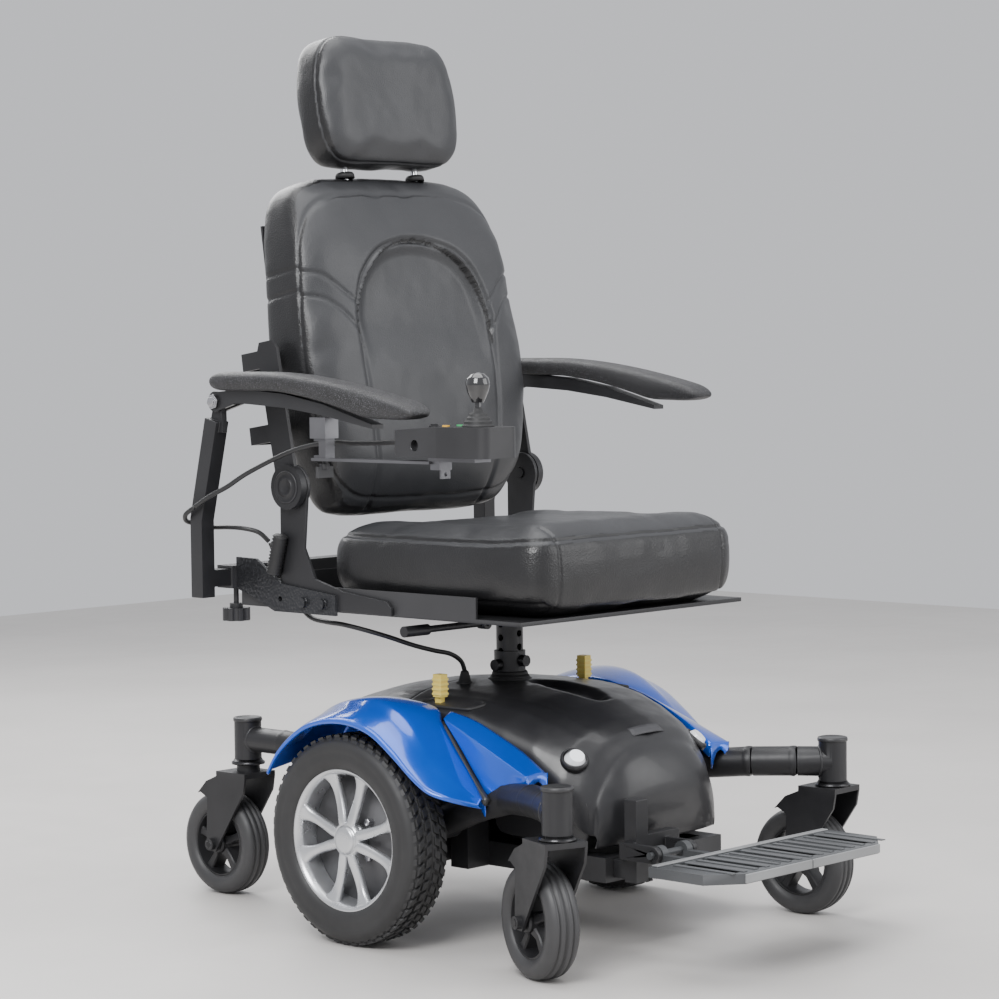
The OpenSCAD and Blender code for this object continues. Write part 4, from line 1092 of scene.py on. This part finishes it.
# ---------- leads ----------
LEAD_RADIUS = 3.5
ROUTES = dict(
    lead_arm=[(-292, -106, 722), (-284, -85, 720), (-279, -50, 718), (-277, 0, 717), (-277, 45, 717),
              (-279, 90, 712), (-284, 130, 702), (-292, 170, 686), (-304, 205, 668), (-315, 232, 650),
              (-326, 258, 636), (-326, 290, 620)],
    lead_post=[(-326, 292, 619), (-326, 312, 608), (-318, 322, 598), (-303, 326, 593), (-288, 322, 589),
               (-279, 305, 586), (-276, 275, 587), (-270, 248, 586), (-256, 230, 580), (-243, 222, 566)],
    lead_drop=[(-241, 221, 564), (-234, 216, 542), (-228, 208, 510), (-222, 190, 482), (-221, 160, 456),
               (-221, 125, 450), (-219, 92, 448), (-206, 60, 441), (-182, 33, 430), (-152, 14, 417),
               (-120, 2, 407), (-92, -4, 400), (-72, -6, 388), (-64, -6, 373)])
for node, points in ROUTES.items():
    line = spline([mm(*p) for p in points], 6)
    m = Maker(node + "_sleeve")
    m.tube(line, LEAD_RADIUS, 12)
    lead = m.done("lead_black", None, stands_for=[node])
    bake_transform(lead)


# ---------- seat hardware ----------
def recliner_trim(side, sx, outward):
    hinge = mm(0, 162, 649)
    p = Vector((sx * 0.2622, hinge.y, hinge.z))
    m = Maker(f"recliner_trim_{side}")
    m.turned(p - outward * 0.002, p + outward, [(0, 24), (3, 24), (4, 22.5), (2.6, 21), (2.6, 14), (4, 13),
                                                (4.6, 11.5), (3, 10), (3, 0)], 48)
    m.done("frame_black", "seat")


def recliner_bellows(side, sx):
    m = Maker(f"recliner_bellows_{side}")
    foot = mm(sx * 258, 196, 520)
    profile = []
    for k in range(12):
        profile += [(k * 5, 9.5), (k * 5 + 2.5, 12)]
    m.turned(foot, foot + Vector((0, -0.1, 0.35)), profile + [(60, 9)], 24)
    m.done("rubber_boot", "seat")


def bracket_bolts(side, sx, outward):
    m = Maker(f"bracket_bolts_{side}")
    for y in (97, 137):
        p = mm(sx * 253.8, y, 480)
        m.turned(p, p + outward, [(0, 8.5), (1.2, 8.5), (1.3, 6.6), (4.2, 6.2), (5, 5), (5, 3), (3.4, 3),
                                  (3.4, 0)], 24)
    m.done("bolt_black", "seat")


def flip_bolt(side, sx, outward):
    """Bolt head on the armrest's hinge; the left hinge is a little higher."""
    m = Maker(f"flip_bolt_{side}")
    p = Vector((sx * 0.3195, 0.255 + AXLE_Y, 0.775 + (0.012 if side == "left" else 0)))
    m.turned(p, p + outward, [(0, 11.5), (2, 11.5), (2.2, 7.5), (5.5, 7.5), (6, 6.5), (6, 0)], 6)
    m.done("steel", f"armrest_{side}", bevel=0.5)


def rod_guide(side, sx):
    m = Maker(f"rod_guide_{side}")
    m.turned(back(sx * 75, -4, 462), back(sx * 75, -4, 474), [(0, 15), (6, 14.5), (9, 12.5), (10, 9), (10, 6.4)],
             32, loop=True)
    m.done("rubber_boot", "back")


for side, sx in SIDES:
    outward = Vector((sx, 0, 0))
    recliner_trim(side, sx, outward)
    recliner_bellows(side, sx)
    bracket_bolts(side, sx, outward)
    flip_bolt(side, sx, outward)
    rod_guide(side, sx)

# ---------- footplate ----------
m = Maker("tread_strips")
for k in range(15):
    x = -168 + 24 * k
    m.box((x, -592, 152), (x + 9, -490, 153.6))
m.done("plate_grey", "footplate", bevel=0.6)
m = Maker("footplate_edge")
m.box((-150, -602.5, 139), (-6, -599, 151.5))
m.box((-4, -602.5, 139), (150, -599, 151.5))
m.done("plate_edge", "footplate", bevel=1.2)
m = Maker("footplate_rear_strip")
m.box((-190, -482, 152), (190, -471, 154.4))
m.done("plate_edge", "footplate", bevel=1)

# ---------- control box ----------
BELLOWS_FOOT = 0.7435
m = Maker("joystick_bellows")
lo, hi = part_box("joystick_gimbal")
p = Vector(((lo.x + hi.x) / 2, (lo.y + hi.y) / 2, BELLOWS_FOOT))
m.turned(p, p + Vector((0, 0, 1)), [(0, 22), (2, 22.5), (4, 20), (5, 19), (7, 20), (9, 18.5), (10, 16), (12, 16.8),
                                    (14, 15), (15, 12.5), (17, 13), (19, 11), (21, 8), (24, 6), (27, 4.6)], 40)
m.done("rubber_boot", "joystick_knob")
m = Maker("charge_port_ring")
p = mm(-324.5, -170, 718)
m.turned(p, p + Vector((-1, 0, 0)), [(0, 11), (2, 11), (3, 10), (3, 8.2), (0, 8)], 32, loop=True)
m.done("bolt_black", "armrest_right")
